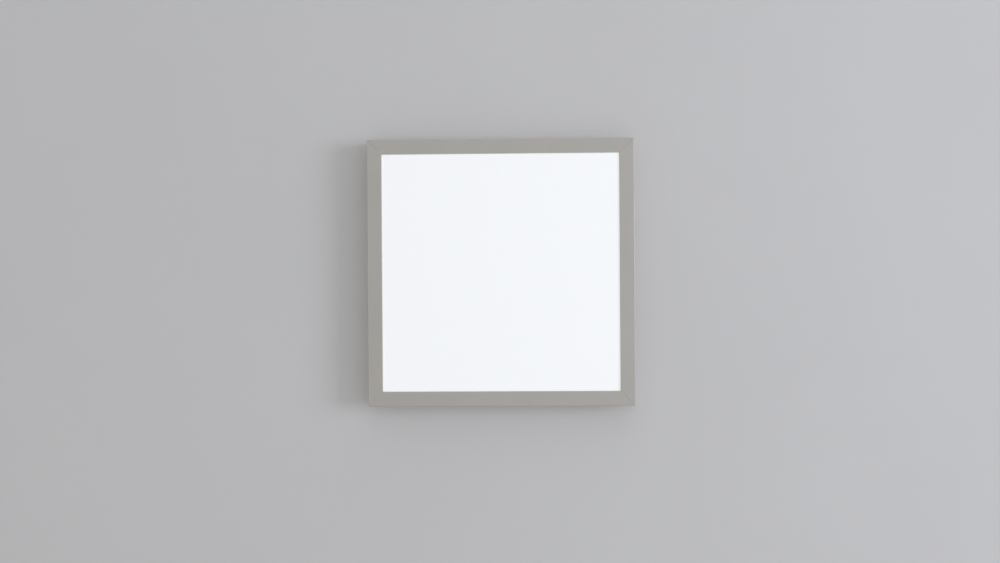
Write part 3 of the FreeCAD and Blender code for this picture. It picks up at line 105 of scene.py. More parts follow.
def remap(tree, source, start, end, low, high):
    """A value that goes from low to high while its source goes from start to end."""
    node = add(tree, "ShaderNodeMapRange")
    for socket, value in (("From Min", start), ("From Max", end), ("To Min", low), ("To Max", high)):
        node.inputs[socket].default_value = value
    tree.links.new(source, node.inputs["Value"])
    return node.outputs["Result"]


def material(name, colour, metallic=0.0, roughness=0.5, spread=0.0, spread_scale=60.0, wear=0.0,
             grain=0.0, grain_scale=1500.0, stretch=(1, 1, 1), sockets=()):
    """A finish with mottled colour, uneven roughness and a fine grain that stretch can draw out."""
    made = bpy.data.materials.new(name)
    made.use_nodes = True
    tree = made.node_tree
    shader = tree.nodes["Principled BSDF"]
    shader.inputs["Base Color"].default_value = (*colour, 1)
    shader.inputs["Metallic"].default_value = metallic
    shader.inputs["Roughness"].default_value = roughness
    for socket, value in sockets:
        shader.inputs[socket].default_value = value
    place = add(tree, "ShaderNodeTexCoord").outputs["Object"]
    if spread or wear:
        mottle = add(tree, "ShaderNodeTexNoise", scale=spread_scale, detail=4.0, roughness=0.6)
        tree.links.new(place, mottle.inputs["Vector"])
    if spread:
        ramp = add(tree, "ShaderNodeValToRGB")
        for stop, share, at in zip(ramp.color_ramp.elements, (1 - spread, 1 + spread), (0.3, 0.7)):
            stop.position = at
            stop.color = (*(min(1.0, part * share) for part in colour), 1)
        tree.links.new(mottle.outputs["Fac"], ramp.inputs["Fac"])
        tree.links.new(ramp.outputs["Color"], shader.inputs["Base Color"])
    if wear:
        rub = remap(tree, mottle.outputs["Fac"], 0, 1, roughness - wear, roughness + wear)
        tree.links.new(rub, shader.inputs["Roughness"])
    if grain:
        drawn = add(tree, "ShaderNodeMapping")
        drawn.inputs["Scale"].default_value = stretch
        fine = add(tree, "ShaderNodeTexNoise", scale=grain_scale, detail=2.0)
        bump = add(tree, "ShaderNodeBump", strength=grain, distance=0.1 * MM)
        tree.links.new(place, drawn.inputs["Vector"])
        tree.links.new(drawn.outputs["Vector"], fine.inputs["Vector"])
        tree.links.new(fine.outputs["Fac"], bump.inputs["Height"])
        tree.links.new(bump.outputs["Normal"], shader.inputs["Normal"])
    return made


def spangled_zinc():
    """Hot dip galvanising: feathered crystals a few millimetres across, each with its own tone and gloss."""
    made = material("galvanised", (0.52, 0.53, 0.54), metallic=0.85, roughness=0.38, grain=0.05,
                    grain_scale=700.0)
    tree = made.node_tree
    shader = tree.nodes["Principled BSDF"]
    drift = add(tree, "ShaderNodeTexNoise", scale=220.0, detail=3.0)
    bend = add(tree, "ShaderNodeVectorMath", operation="MULTIPLY_ADD")
    bend.inputs[1].default_value = [CRYSTAL_DRIFT] * 3
    crystals = add(tree, "ShaderNodeTexVoronoi", scale=190.0)
    tone = add(tree, "ShaderNodeSeparateColor")
    shades = add(tree, "ShaderNodeValToRGB")
    shades.color_ramp.elements[0].color = (0.505, 0.512, 0.520, 1)
    shades.color_ramp.elements[1].color = (0.545, 0.550, 0.556, 1)
    place = add(tree, "ShaderNodeTexCoord").outputs["Object"]
    tree.links.new(place, drift.inputs["Vector"])
    tree.links.new(drift.outputs["Color"], bend.inputs[0])
    tree.links.new(place, bend.inputs[2])
    tree.links.new(bend.outputs["Vector"], crystals.inputs["Vector"])
    tree.links.new(crystals.outputs["Color"], tone.inputs["Color"])
    tree.links.new(tone.outputs["Red"], shades.inputs["Fac"])
    tree.links.new(shades.outputs["Color"], shader.inputs["Base Color"])
    tree.links.new(remap(tree, tone.outputs["Green"], 0, 1, 0.40, 0.47), shader.inputs["Roughness"])
    return made


def from_middle(tree):
    """How far a point lies from the light's middle, along x or y, whichever is more."""
    parts = add(tree, "ShaderNodeSeparateXYZ")
    tree.links.new(add(tree, "ShaderNodeTexCoord").outputs["Object"], parts.inputs["Vector"])
    reach = add(tree, "ShaderNodeMath", operation="MAXIMUM")
    for number, axis in enumerate("XY"):
        size = add(tree, "ShaderNodeMath", operation="ABSOLUTE")
        tree.links.new(parts.outputs[axis], size.inputs[0])
        tree.links.new(size.outputs["Value"], reach.inputs[number])
    return reach.outputs["Value"]


def lit_panel():
    """Opal sheet lit from behind: even and faintly blue, a little brighter and whiter close to its edges."""
    made = material("opal_panel", OPAL_COLOUR, roughness=0.45, grain=0.04, grain_scale=1800.0)
    tree = made.node_tree
    shader = tree.nodes["Principled BSDF"]
    reach = from_middle(tree)
    tint = add(tree, "ShaderNodeValToRGB")
    for stop, colour in zip(tint.color_ramp.elements, (GLOW_COLOUR, RIM_COLOUR)):
        stop.color = (*colour, 1)
    tree.links.new(remap(tree, reach, RIM_START, RIM_END, GLOW, RIM_GLOW), shader.inputs["Emission Strength"])
    tree.links.new(remap(tree, reach, RIM_START, RIM_END, 0, 1), tint.inputs["Fac"])
    tree.links.new(tint.outputs["Color"], shader.inputs["Emission Color"])
    return made


def dotted_acrylic():
    """Clear edge-lit sheet with its printed grid of white dots."""
    made = material("clear_acrylic", (0.86, 0.92, 0.93), roughness=0.08,
                    sockets=(("Transmission Weight", CLEARNESS), ("IOR", 1.49)))
    tree = made.node_tree
    dots = add(tree, "ShaderNodeTexVoronoi", scale=450.0, randomness=0.0)
    tree.links.new(add(tree, "ShaderNodeTexCoord").outputs["Object"], dots.inputs["Vector"])
    clear = remap(tree, dots.outputs["Distance"], 0.26, 0.30, 0.0, CLEARNESS)
    tree.links.new(clear, tree.nodes["Principled BSDF"].inputs["Transmission Weight"])
    return made


FRAME_ALONG_X = material("satin_frame_x", FRAME_COLOUR, stretch=(BRUSHED, 1, 1), **FRAME_FINISH)
FRAME_ALONG_Y = material("satin_frame_y", FRAME_COLOUR, stretch=(1, BRUSHED, 1), **FRAME_FINISH)
OPAL = lit_panel()
ACRYLIC = dotted_acrylic()
WHITE_FILM = material("white_film", (0.86, 0.86, 0.85), roughness=0.55, grain=0.06)
FOAM = material("grey_foam", (0.27, 0.27, 0.28), roughness=0.95, spread=0.12, spread_scale=700.0, grain=0.9,
                grain_scale=1100.0)
STRIP_WHITE = material("strip_mask", (0.82, 0.83, 0.81), roughness=0.35, spread=0.02)
PHOSPHOR = material("phosphor", (0.86, 0.66, 0.12), roughness=0.35, sockets=(("Coat Weight", 0.6),))
WHITE_COAT = material("powder_coat", (0.66, 0.66, 0.645), roughness=0.42, spread=0.02, wear=0.05, grain=0.5,
                      grain_scale=900.0)
GALVANISED = spangled_zinc()
ZINC = material("zinc_plate", (0.58, 0.57, 0.54), metallic=0.9, roughness=0.3, spread=0.06,
                spread_scale=500.0)
STEEL = material("bright_steel", (0.56, 0.56, 0.56), metallic=1.0, roughness=0.26, spread=0.05,
                 spread_scale=400.0, wear=0.06)
RIVET = material("rivet_alloy", (0.62, 0.62, 0.64), metallic=0.9, roughness=0.34, wear=0.08,
                 spread_scale=500.0)
EARTH_GREEN = material("earth_green", (0.03, 0.30, 0.08), metallic=0.2, roughness=0.35, spread=0.06,
                       spread_scale=500.0)
POLYAMIDE = material("polyamide", (0.68, 0.68, 0.66), roughness=0.46, spread=0.015, grain=0.15)
ORANGE = material("orange_moulding", (0.72, 0.13, 0.01), roughness=0.34, spread=0.03, spread_scale=300.0)
COPPER_ALLOY = material("tinned_copper", (0.66, 0.50, 0.40), metallic=1.0, roughness=0.3, spread=0.06,
                        spread_scale=400.0)
SLEEVE_COLOURS = {"black": (0.015, 0.015, 0.016), "white": (0.74, 0.74, 0.72), "green": (0.01, 0.22, 0.05),
                  "red": (0.42, 0.012, 0.01)}
SLEEVES = {name: material(name + "_sleeve", colour, roughness=0.36, spread=0.03, spread_scale=200.0,
                          grain=0.05) for name, colour in SLEEVE_COLOURS.items()}
RUBBER = material("black_rubber", (0.022, 0.022, 0.022), roughness=0.72, spread=0.1, spread_scale=300.0,
                  grain=0.25)
NYLON = material("nylon", (0.74, 0.72, 0.66), roughness=0.5, grain=0.1)
BOARD = material("board_mask", (0.012, 0.16, 0.05), roughness=0.3, spread=0.08, spread_scale=900.0,
                 sockets=(("Coat Weight", 0.3),))
FERRITE = material("ferrite", (0.05, 0.05, 0.055), metallic=0.2, roughness=0.6, spread=0.15,
                   spread_scale=600.0, grain=0.3)
TAPE = material("winding_tape", (0.72, 0.46, 0.03), roughness=0.32, spread=0.03, grain=0.3,
                grain_scale=2200.0, stretch=(0.03, 1, 0.03))
CORE_COAT = material("core_coat", (0.03, 0.16, 0.07), roughness=0.5, spread=0.05, spread_scale=400.0,
                     grain=0.2)
CAN_SLEEVE = material("can_sleeve", (0.018, 0.018, 0.03), roughness=0.28, sockets=(("Coat Weight", 0.4),))
CAN_TOP = material("can_top", (0.62, 0.62, 0.63), metallic=1.0, roughness=0.3)
ENAMEL = material("enamelled_copper", (0.55, 0.16, 0.05), metallic=0.8, roughness=0.28, spread=0.08,
                  spread_scale=500.0)
FILM_CASE = material("film_case", (0.74, 0.40, 0.02), roughness=0.3, spread=0.02,
                     sockets=(("Coat Weight", 0.5),))
EPOXY = material("moulded_epoxy", (0.02, 0.02, 0.022), roughness=0.55, grain=0.2)

FINISHES = {
    FRAME_ALONG_X: ("frame_front", "frame_back"),
    FRAME_ALONG_Y: ("frame_right", "frame_left"),
    STEEL: ("corner_keys", "hinge_pin_front", "hinge_pin_back", "lock_washer_front", "lock_washer_back"),
    ZINC: ("corner_set_screws", "lock_nuts"),
    OPAL: ("diffuser",),
    ACRYLIC: ("light_guide",),
    WHITE_FILM: ("reflector_sheet",),
    STRIP_WHITE: ("led_strip_left", "led_strip_right"),
    WHITE_COAT: ("back_plate",),
    GALVANISED: ("ceiling_bracket", "driver_tray", "driver_cover", "hinge_lug_front", "hinge_lug_back",
                 "hinge_arm_front", "hinge_arm_back"),
    RIVET: ("hinge_lug_rivets", "arm_rivets", "heat_sink"),
    EARTH_GREEN: ("earth_screw", "bracket_earth_screw"),
    POLYAMIDE: ("terminal_housing",),
    ORANGE: ("terminal_button_live", "terminal_button_neutral", "terminal_button_earth"),
    COPPER_ALLOY: ("terminal_clamps", "earth_lug"),
    SLEEVES["red"]: ("led_jumper_lead",),
    RUBBER: ("bracket_grommet", "lead_bushes"),
    NYLON: ("lead_clips", "board_posts"),
    BOARD: ("circuit_board",),
    FERRITE: ("transformer_core",),
    TAPE: ("transformer_winding",),
    FILM_CASE: ("film_capacitor",),
    EPOXY: ("transistor",),
}
for finish, names in FINISHES.items():
    for name in names:
        nodes[name].data.materials.clear()
        nodes[name].data.materials.append(finish)


# Broken edges, by their width. The CAD meshes have split vertices, so they are joined first, and their flats
# made whole

WELD_REACH = 0.001 * MM
FLAT_ANGLE = math.radians(1)
EDGE_ANGLE = math.radians(40)
WIDE_EDGE = 1.1 * MM
EDGES = {
    0.12 * MM: ("ceiling_bracket", "driver_tray", "driver_cover", "hinge_lug_front", "hinge_lug_back",
                "hinge_arm_front", "hinge_arm_back", "back_plate", "earth_lug", "lock_nuts", "heat_sink",
                "frame_front", "frame_right", "frame_back", "frame_left"),
    0.15 * MM: ("hinge_pin_front", "hinge_pin_back", "bracket_earth_screw", "earth_screw", "lead_bushes",
                "transistor"),
    0.25 * MM: ("terminal_housing", "terminal_button_live", "terminal_button_neutral",
                "terminal_button_earth", "lead_clips", "bracket_grommet", "transformer_core",
                "film_capacitor"),
    WIDE_EDGE: ("transformer_winding",),
}
for width, names in EDGES.items():
    for name in names:
        stack = nodes[name].modifiers
        stack.new("joined_faces", "WELD").merge_threshold = WELD_REACH
        flats = stack.new("whole_flats", "DECIMATE")
        flats.decimate_type = "DISSOLVE"
        flats.angle_limit = FLAT_ANGLE
        soften = stack.new("broken_edges", "BEVEL")
        soften.width = width
        soften.segments = 5 if width == WIDE_EDGE else 2
        soften.limit_method = "ANGLE"
        soften.angle_limit = EDGE_ANGLE
        stack.new("face_normals", "WEIGHTED_NORMAL")


# Shape tools for the pieces that stand for plain CAD solids


def node_box(name):
    """The lowest and highest corner of a CAD node."""
    return [Vector(corner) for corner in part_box(name)]


def solids(name):
    """The lowest and highest corner of each separate solid in a CAD node, in order of place."""
    shape = bmesh.new()
    shape.from_mesh(nodes[name].data)
    bmesh.ops.remove_doubles(shape, verts=shape.verts, dist=WELD_REACH)
    boxes, seen = [], set()
    for start in shape.verts:
        if start in seen:
            continue
        seen.add(start)
        found, queue = [], [start]
        while queue:
            point = queue.pop()
            found.append(point.co.copy())
            for edge in point.link_edges:
                other = edge.other_vert(point)
                if other not in seen:
                    seen.add(other)
                    queue.append(other)
        boxes.append(tuple(Vector([pick(point[axis] for point in found) for axis in range(3)])
                           for pick in (min, max)))
    shape.free()
    return sorted(boxes, key=lambda box: tuple(box[0]))


def ring(shape, place, height, radii):
    """One ring of points about the place's own z axis, with a radius for each."""
    return [shape.verts.new(place @ Vector((radius * math.cos(number * math.tau / len(radii)),
                                            radius * math.sin(number * math.tau / len(radii)), height)))
            for number, radius in enumerate(radii)]


def skin(shape, rings, paint=0):
    """Faces from each ring to the next."""
    for first, second in zip(rings, rings[1:]):
        for number in range(len(first)):
            after = (number + 1) % len(first)
            face = shape.faces.new((first[number], first[after], second[after], second[number]))
            face.material_index = paint


def across_x(low, high, x):
    """A place on the middle line of a box along x, with its own z axis along that line."""
    return (Matrix.Translation((x, (low.y + high.y) / 2, (low.z + high.z) / 2))
            @ Matrix.Rotation(math.pi / 2, 4, "Y"))


def to_mesh(shape, name, sharp=35.0):
    """A mesh with its faces turned outwards and shaded smooth up to the sharp angle."""
    bmesh.ops.recalc_face_normals(shape, faces=shape.faces)
    for face in shape.faces:
        face.smooth = True
    mesh = bpy.data.meshes.new(name)
    shape.to_mesh(mesh)
    shape.free()
    mesh.set_sharp_from_angle(angle=math.radians(sharp))
    return mesh


def piece(name, data, finishes, replaced=(), body="light"):
    """A piece that rides on a body and stands for the CAD nodes named."""
    made = bpy.data.objects.new(name, data)
    bpy.context.scene.collection.objects.link(made)
    for finish in finishes:
        data.materials.append(finish)
    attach(made, body)
    if replaced:
        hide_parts(*replaced)
    return made


# Cross recess screws. Shares are of the head's radius or rise, or of the shank's radius

HEAD_CURVE = ((1.0, 0.72), (0.94, 0.86), (0.76, 0.96), (0.5, 1.0), (0.08, 1.0), (0.0, 0.95))
CROSS_MOUTH = (0.56, 0.13)
CROSS_FLOOR = (0.34, 0.07)
CROSS_FLOOR_RISE = 0.35
THREAD_SHARE = 0.22
POINT_SHARE = 0.12
POINT_PITCHES = 1.5
SCREW_SIDES = 24
THREAD_ROWS = 4
SCREW_TURN = math.radians(37)
DRIVER_MIDDLE = 93 * MM


def cross(reach, half, height):
    """The twelve corners of a cross, anticlockwise."""
    corner = ((reach, -half, height), (reach, half, height), (half, half, height))
    return [Matrix.Rotation(quarter * math.pi / 2, 3, "Z") @ Vector(spot)
            for quarter in range(4) for spot in corner]


def recess(shape, place, rim, mouth, floor):
    """The flat of a head inside its rim, with a recess from the mouth's corners down to the floor's."""
    mouth, floor = ([shape.verts.new(place @ corner) for corner in corners] for corners in (mouth, floor))
    skin(shape, [mouth, floor])
    for loops in ((rim, mouth), (floor,)):
        corners = [corner for loop in loops for corner in loop]
        outlines = [[place.inverted() @ corner.co for corner in loop] for loop in loops]
        for triangle in tessellate_polygon(outlines):
            shape.faces.new([corners[number] for number in triangle])


def screw(shape, place, head, rise, shank, length, pitch):
    """A pan head screw with a cross recess. Its head seats at the place's z = 0, with its thread below."""
    rings = [ring(shape, place, rise * up, [head * out] * SCREW_SIDES) for up, out in HEAD_CURVE]
    rows = int(length / pitch * THREAD_ROWS)
    for row in range(rows):
        height = -row * pitch / THREAD_ROWS
        taper = min(1.0, (length + height) / (POINT_PITCHES * pitch))
        phases = [(row / THREAD_ROWS + number / SCREW_SIDES) % 1 for number in range(SCREW_SIDES)]
        crest = 0.0 if row == 0 else THREAD_SHARE * shank
        rings.append(ring(shape, place, height,
                          [taper * (shank - crest * abs(2 * phase - 1)) for phase in phases]))
    rings.append(ring(shape, place, -length, [POINT_SHARE * shank] * SCREW_SIDES))
    skin(shape, rings)
    shape.faces.new(rings[-1])
    recess(shape, place, rings[0], cross(*(share * head for share in CROSS_MOUTH), rise),
           cross(*(share * head for share in CROSS_FLOOR), CROSS_FLOOR_RISE * rise))


def screw_set(name, node, find_seats, head, rise, shank, pitch):
    """All the screws of one CAD node. A seat is a place for a head's underside, with its own z outwards."""
    shape = bmesh.new()
    for number, (seat, length) in enumerate(find_seats(node, rise)):
        screw(shape, seat @ Matrix.Rotation(number * SCREW_TURN, 4, "Z"), head, rise, shank, length, pitch)
    piece(name, to_mesh(shape, name), (ZINC,), (node,))


def upright_seats(node, rise):
    """Seats for screws that go straight down."""
    return [(Matrix.Translation(((low.x + high.x) / 2, (low.y + high.y) / 2, high.z - rise)),
             high.z - rise - low.z) for low, high in solids(node)]


def side_seats(node, rise):
    """Seats for screws that go sideways into the driver."""
    seats = []
    for low, high in solids(node):
        outwards = 1 if (low.y + high.y) / 2 > DRIVER_MIDDLE else -1
        seat = (high.y if outwards > 0 else low.y) - outwards * rise
        seats.append((Matrix.Translation(((low.x + high.x) / 2, seat, (low.z + high.z) / 2))
                      @ Matrix.Rotation(-outwards * math.pi / 2, 4, "X"), high.y - low.y - rise))
    return seats


screw_set("plate_screw_set", "back_plate_screws", upright_seats,
          head=2.2 * MM, rise=1.4 * MM, shank=1.45 * MM, pitch=1.1 * MM)
screw_set("driver_screw_set", "driver_screws", upright_seats,
          head=2.2 * MM, rise=1.4 * MM, shank=1.3 * MM, pitch=0.7 * MM)
screw_set("cover_screw_set", "driver_cover_screws", side_seats,
          head=2.0 * MM, rise=0.9 * MM, shank=1.15 * MM, pitch=0.8 * MM)


# Lock screws: quarter-turn fasteners with two steep grooves and a slotted head

LOCK_LEAD = 19.6 * MM
LOCK_SIDES = 36
LOCK_TIP = 1.5 * MM
LOCK_SHANK = 1.98 * MM
GROOVE_DEPTH = 0.42 * MM
GROOVE_ROWS = 22
GROOVE_START = 0.4 * MM
GROOVE_STEP = 0.48 * MM
GROOVE_WALL = 2.2
# The head's turned outline: height over the seat and radius, in millimetres
LOCK_HEAD = ((0.0, 3.55), (0.06, 3.72), (0.2, 3.8), (0.62, 3.8), (0.85, 3.65), (0.96, 3.4), (1.0, 3.1))
# The slot's mouth and floor: half its width, half its length and its depth, in millimetres
SLOT = ((0.55, 2.8, 0.0), (0.2, 2.3, 0.75))


def groove(phase):
    """How deep the shank is cut on the way from one groove to the next: 1 in a groove, 0 on the land."""
    return max(0.0, 1 - GROOVE_WALL * (1 - abs(2 * phase - 1)))


def lock_screw(name, node, body):
    """A quarter-turn screw along x, with its head outwards. Its slot lies along y at rest."""
    low, high = node_box(node)
    place = across_x(low, high, 0)
    seat = high.x - LOCK_HEAD[-1][0] * MM
    shape = bmesh.new()
    rings = [ring(shape, place, low.x, [LOCK_TIP] * LOCK_SIDES)]
    for row in range(GROOVE_ROWS):
        height = low.x + GROOVE_START + row * GROOVE_STEP
        depth = 0.0 if row in (0, GROOVE_ROWS - 1) else GROOVE_DEPTH
        phases = [2 * (number / LOCK_SIDES - height / LOCK_LEAD) % 1 for number in range(LOCK_SIDES)]
        rings.append(ring(shape, place, height, [LOCK_SHANK - depth * groove(phase) for phase in phases]))
    rings.append(ring(shape, place, seat, [LOCK_SHANK] * LOCK_SIDES))
    rings += [ring(shape, place, seat + up * MM, [out * MM] * LOCK_SIDES) for up, out in LOCK_HEAD]
    skin(shape, rings)
    shape.faces.new(rings[0])
    mouth, floor = ([Vector((side * half * MM, end * reach * MM, high.x - depth * MM))
                     for side, end in ((1, -1), (1, 1), (-1, 1), (-1, -1))] for half, reach, depth in SLOT)
    recess(shape, place, rings[-1], mouth, floor)
    piece(name, to_mesh(shape, name), (STEEL,), (node,), body)


lock_screw("front_quarter_turn", "lock_screw_front", "front_lock_screw")
lock_screw("back_quarter_turn", "lock_screw_back", "back_lock_screw")


# Leads: each follows the route of its CAD solid, with the slack a hand-laid wire has between its clips.
# Routes are in millimetres

MAINS_RADIUS = 1.0 * MM
LED_RADIUS = 0.8 * MM
ROUTES = {
    "live_lead": ("black", MAINS_RADIUS, (
        (-80, 36.35, -14.7), (-80, 40, -14.7), (-80, 46, -15), (-79.2, 55, -16.6), (-80.4, 64, -17.4),
        (-80, 73, -16.8), (-78.6, 80.5, -15.6), (-73, 85, -14.9), (-66, 85.2, -14.7), (-61, 85, -14.7),
        (-58, 85, -14.7), (-53.2, 85, -14.7))),
    "neutral_lead": ("white", MAINS_RADIUS, (
        (-88, 36.35, -14.7), (-88, 40, -14.7), (-88, 46, -14.9), (-88.8, 58, -16.9), (-87.4, 70, -17.6),
        (-88.2, 82, -17.2), (-87.4, 91, -16.2), (-81.5, 97.6, -15.2), (-74, 98.4, -14.9), (-66, 98, -14.7),
        (-60.5, 98, -14.7), (-57, 98, -14.7), (-53.2, 98, -14.7))),
    "earth_lead": ("green", MAINS_RADIUS, (
        (-96, 36.35, -14.7), (-96, 40, -14.7), (-96, 44, -14.8), (-96.8, 49, -16), (-96.2, 54, -17.6),
        (-96, 58, -18.2), (-96, 61, -18.2), (-96, 66.4, -18.2))),
    "led_lead_positive": ("red", LED_RADIUS, (
        (83.2, 101, -14.7), (88, 101, -14.7), (92, 101, -14.7), (97, 101.2, -15), (102.5, 102.8, -16),
        (106.3, 108, -17), (106.8, 115, -17.2), (105.6, 121, -16.2), (104.5, 125.2, -15.2),
        (101.5, 126, -14.7), (98, 126, -14.7), (94, 126, -14.7), (80, 126.5, -15.6), (60, 127.2, -16.8),
        (40, 125.6, -17.2), (20, 125.4, -16.2), (6, 126, -14.8), (2, 126, -14.7), (-2, 126, -14.7), (-8, 126, -14.9),
        (-25, 126.6, -16.4), (-50, 125.2, -17.2), (-72, 126.7, -16.6), (-90, 126.1, -15), (-95, 126, -14.7),
        (-101, 126, -14.7), (-106, 126, -14.9), (-118, 126.4, -16.2), (-130, 126.6, -16.6),
        (-137.5, 128.5, -16.2), (-139.9, 133, -15.6), (-139.7, 137.5, -15.4), (-139.7, 139.9, -16.5),
        (-139.7, 139.8, -19), (-139.7, 139.8, -21), (-139.7, 139.8, -26.2))),
    "led_lead_negative": ("black", LED_RADIUS, (
        (83.2, 87, -14.7), (88, 87, -14.7), (92, 87, -14.7), (98, 87.2, -15.2), (110, 88.2, -16.8),
        (122, 87.2, -17.4), (132, 88, -17.3), (138.2, 91, -17.2), (139.9, 97, -17.2), (139.2, 108, -17.4),
        (139.9, 120, -17.2), (139.3, 130, -16.6), (139.6, 136, -15.9), (139.7, 139.2, -16),
        (139.7, 139.9, -17.6), (139.7, 139.8, -19.5), (139.7, 139.8, -22), (139.7, 139.8, -26.2))),
}


def wire(name, lines, radius):
    """Round wires along NURBS lines through the points, in metres."""
    data = bpy.data.curves.new(name, "CURVE")
    data.dimensions = "3D"
    data.bevel_depth = radius
    data.bevel_resolution = 5
    data.resolution_u = 8
    data.use_fill_caps = True
    for points in lines:
        spline = data.splines.new("NURBS")
        spline.points.add(len(points) - 1)
        for spot, point in zip(spline.points, points):
            spot.co = (*point, 1)
        spline.order_u = 3
        spline.use_endpoint_u = True
    return data


for node, (colour, radius, points) in ROUTES.items():
    line = wire(node + "_wire", [[Vector(point) * MM for point in points]], radius)
    piece(node + "_wire", line, (SLEEVES[colour],), (node,))


# Bare ends of the leads, bent down into the board. A start is x, y and the way along x. The path is how far
# along x, and at what height. All in millimetres

BARE_RADIUS = 0.45 * MM
BARE_STARTS = ((-54.5, 85, 1), (-54.5, 98, 1), (84.5, 87, -1), (84.5, 101, -1))
BARE_PATH = ((0, -14.7), (1.3, -14.7), (2.6, -14.7), (3.9, -14.8), (4.4, -15.2), (4.4, -16.2))
bare_lines = [[Vector((x + side * along, y, z)) * MM for along, z in BARE_PATH] for x, y, side in BARE_STARTS]
piece("stripped_ends", wire("stripped_ends", bare_lines, BARE_RADIUS), (COPPER_ALLOY,))


# LED chips

CUP_RIM = 0.32 * MM
FILL_MARGIN = 0.5 * MM
FILL_DEPTH = 0.2 * MM


def led_chips():
    """White moulded cups with a yellow phosphor fill, facing the light guide."""
    shape = bmesh.new()
    for low, high in solids("led_chips"):
        back, front, inwards = (low.x, high.x, 1) if low.x < 0 else (high.x, low.x, -1)
        loops = []
        for x, margin in ((back, 0.0), (front, 0.0), (front, CUP_RIM),
                          (front - inwards * FILL_DEPTH, FILL_MARGIN)):
            loops.append([shape.verts.new((x, y, z)) for y, z in (
                (low.y + margin, low.z + margin), (high.y - margin, low.z + margin),
                (high.y - margin, high.z - margin), (low.y + margin, high.z - margin))])
        skin(shape, loops)
        shape.faces.new(loops[0])
        shape.faces.new(loops[-1]).material_index = 1
    piece("led_chip_rows", to_mesh(shape, "led_chip_rows", 20.0), (STRIP_WHITE, PHOSPHOR),
          ("led_chips",))


led_chips()


# Foam pad

FOAM_STEPS = 60
FOAM_WAVES = 90
FOAM_DENT = 0.08 * MM
FOAM_EDGE = 0.4 * MM


def foam_pad():
    """A die-cut sheet, soft at its edges, with the shallow unevenness of cut foam."""
    low, high = node_box("foam_pad")
    shape = bmesh.new()
    row = FOAM_STEPS + 1
    layers = []
    for level, inwards in ((high.z, -1), (low.z, 1)):
        layer = []
        for i in range(row):
            for j in range(row):
                rim = i in (0, FOAM_STEPS) or j in (0, FOAM_STEPS)
                x = low.x + (high.x - low.x) * i / FOAM_STEPS
                y = low.y + (high.y - low.y) * j / FOAM_STEPS
                dent = FOAM_DENT * (1 + noise.noise(Vector((x, y, level)) * FOAM_WAVES))
                dent += FOAM_EDGE if rim else 0.0
                layer.append(shape.verts.new((x, y, level + inwards * dent)))
        layers.append(layer)
        for i in range(FOAM_STEPS):
            for j in range(FOAM_STEPS):
                at = i * row + j
                shape.faces.new([layer[at + step] for step in (0, 1, row + 1, row)])
    border = ([j for j in range(row)] + [i * row + FOAM_STEPS for i in range(1, row)]
              + [FOAM_STEPS * row + j for j in reversed(range(FOAM_STEPS))]
              + [i * row for i in reversed(range(1, FOAM_STEPS))])
    skin(shape, [[layer[spot] for spot in border] for layer in layers])
    made = piece("foam_sheet", to_mesh(shape, "foam_sheet", 60.0), (FOAM,), ("foam_pad",))


foam_pad()


# Driver parts

# Turned outlines of an electrolytic can: millimetres from an end, and share of its radius. The crimp is at
# the bung's end, and the shoulder and cap are at the other
CAN_SIDES = 32
CAN_CRIMP = ((0.7, 0.66), (0.0, 0.72), (0.0, 0.88), (0.4, 0.99), (2.2, 1.0), (2.7, 0.92), (3.1, 0.92),
             (3.6, 1.0))
CAN_SHOULDER = ((0.7, 1.0), (0.15, 0.95), (0.0, 0.86), (0.25, 0.8))
CAN_CAP = ((0.35, 0.6), (0.3, 0.1))

CHOKE_WIRE = 0.32 * MM
CHOKE_STEPS = 48
CHOKE_SIDES = 20
WINDING_TURNS = 13
WINDING_ROWS = 10
WINDING_ARC = math.radians(150)
WINDING_STARTS = (math.radians(15), math.radians(195))


def can(name, node):
    """An electrolytic can on its side: rubber bung, crimp groove, shrunk sleeve and bare aluminium end."""
    low, high = node_box(node)
    radius = (high.z - low.z) / 2
    length = high.x - low.x
    place = across_x(low, high, low.x)
    shape = bmesh.new()

    def turned(rows):
        """A ring for each height and share of the radius."""
        return [ring(shape, place, height, [radius * share] * CAN_SIDES) for height, share in rows]

    def from_far_end(rows):
        """Rows that are measured back from the far end."""
        return [(length - back * MM, share) for back, share in rows]

    sleeve = turned([(along * MM, share) for along, share in CAN_CRIMP] + from_far_end(CAN_SHOULDER))
    skin(shape, sleeve)
    shape.faces.new(sleeve[0]).material_index = 2
    cap = turned(from_far_end(CAN_CAP))
    skin(shape, [sleeve[-1], *cap], 1)
    shape.faces.new(cap[-1]).material_index = 1
    piece(name, to_mesh(shape, name), (CAN_SLEEVE, CAN_TOP, RUBBER), (node,))


can("bulk_capacitor_can", "bulk_capacitor")
can("output_capacitor_can", "output_capacitor")


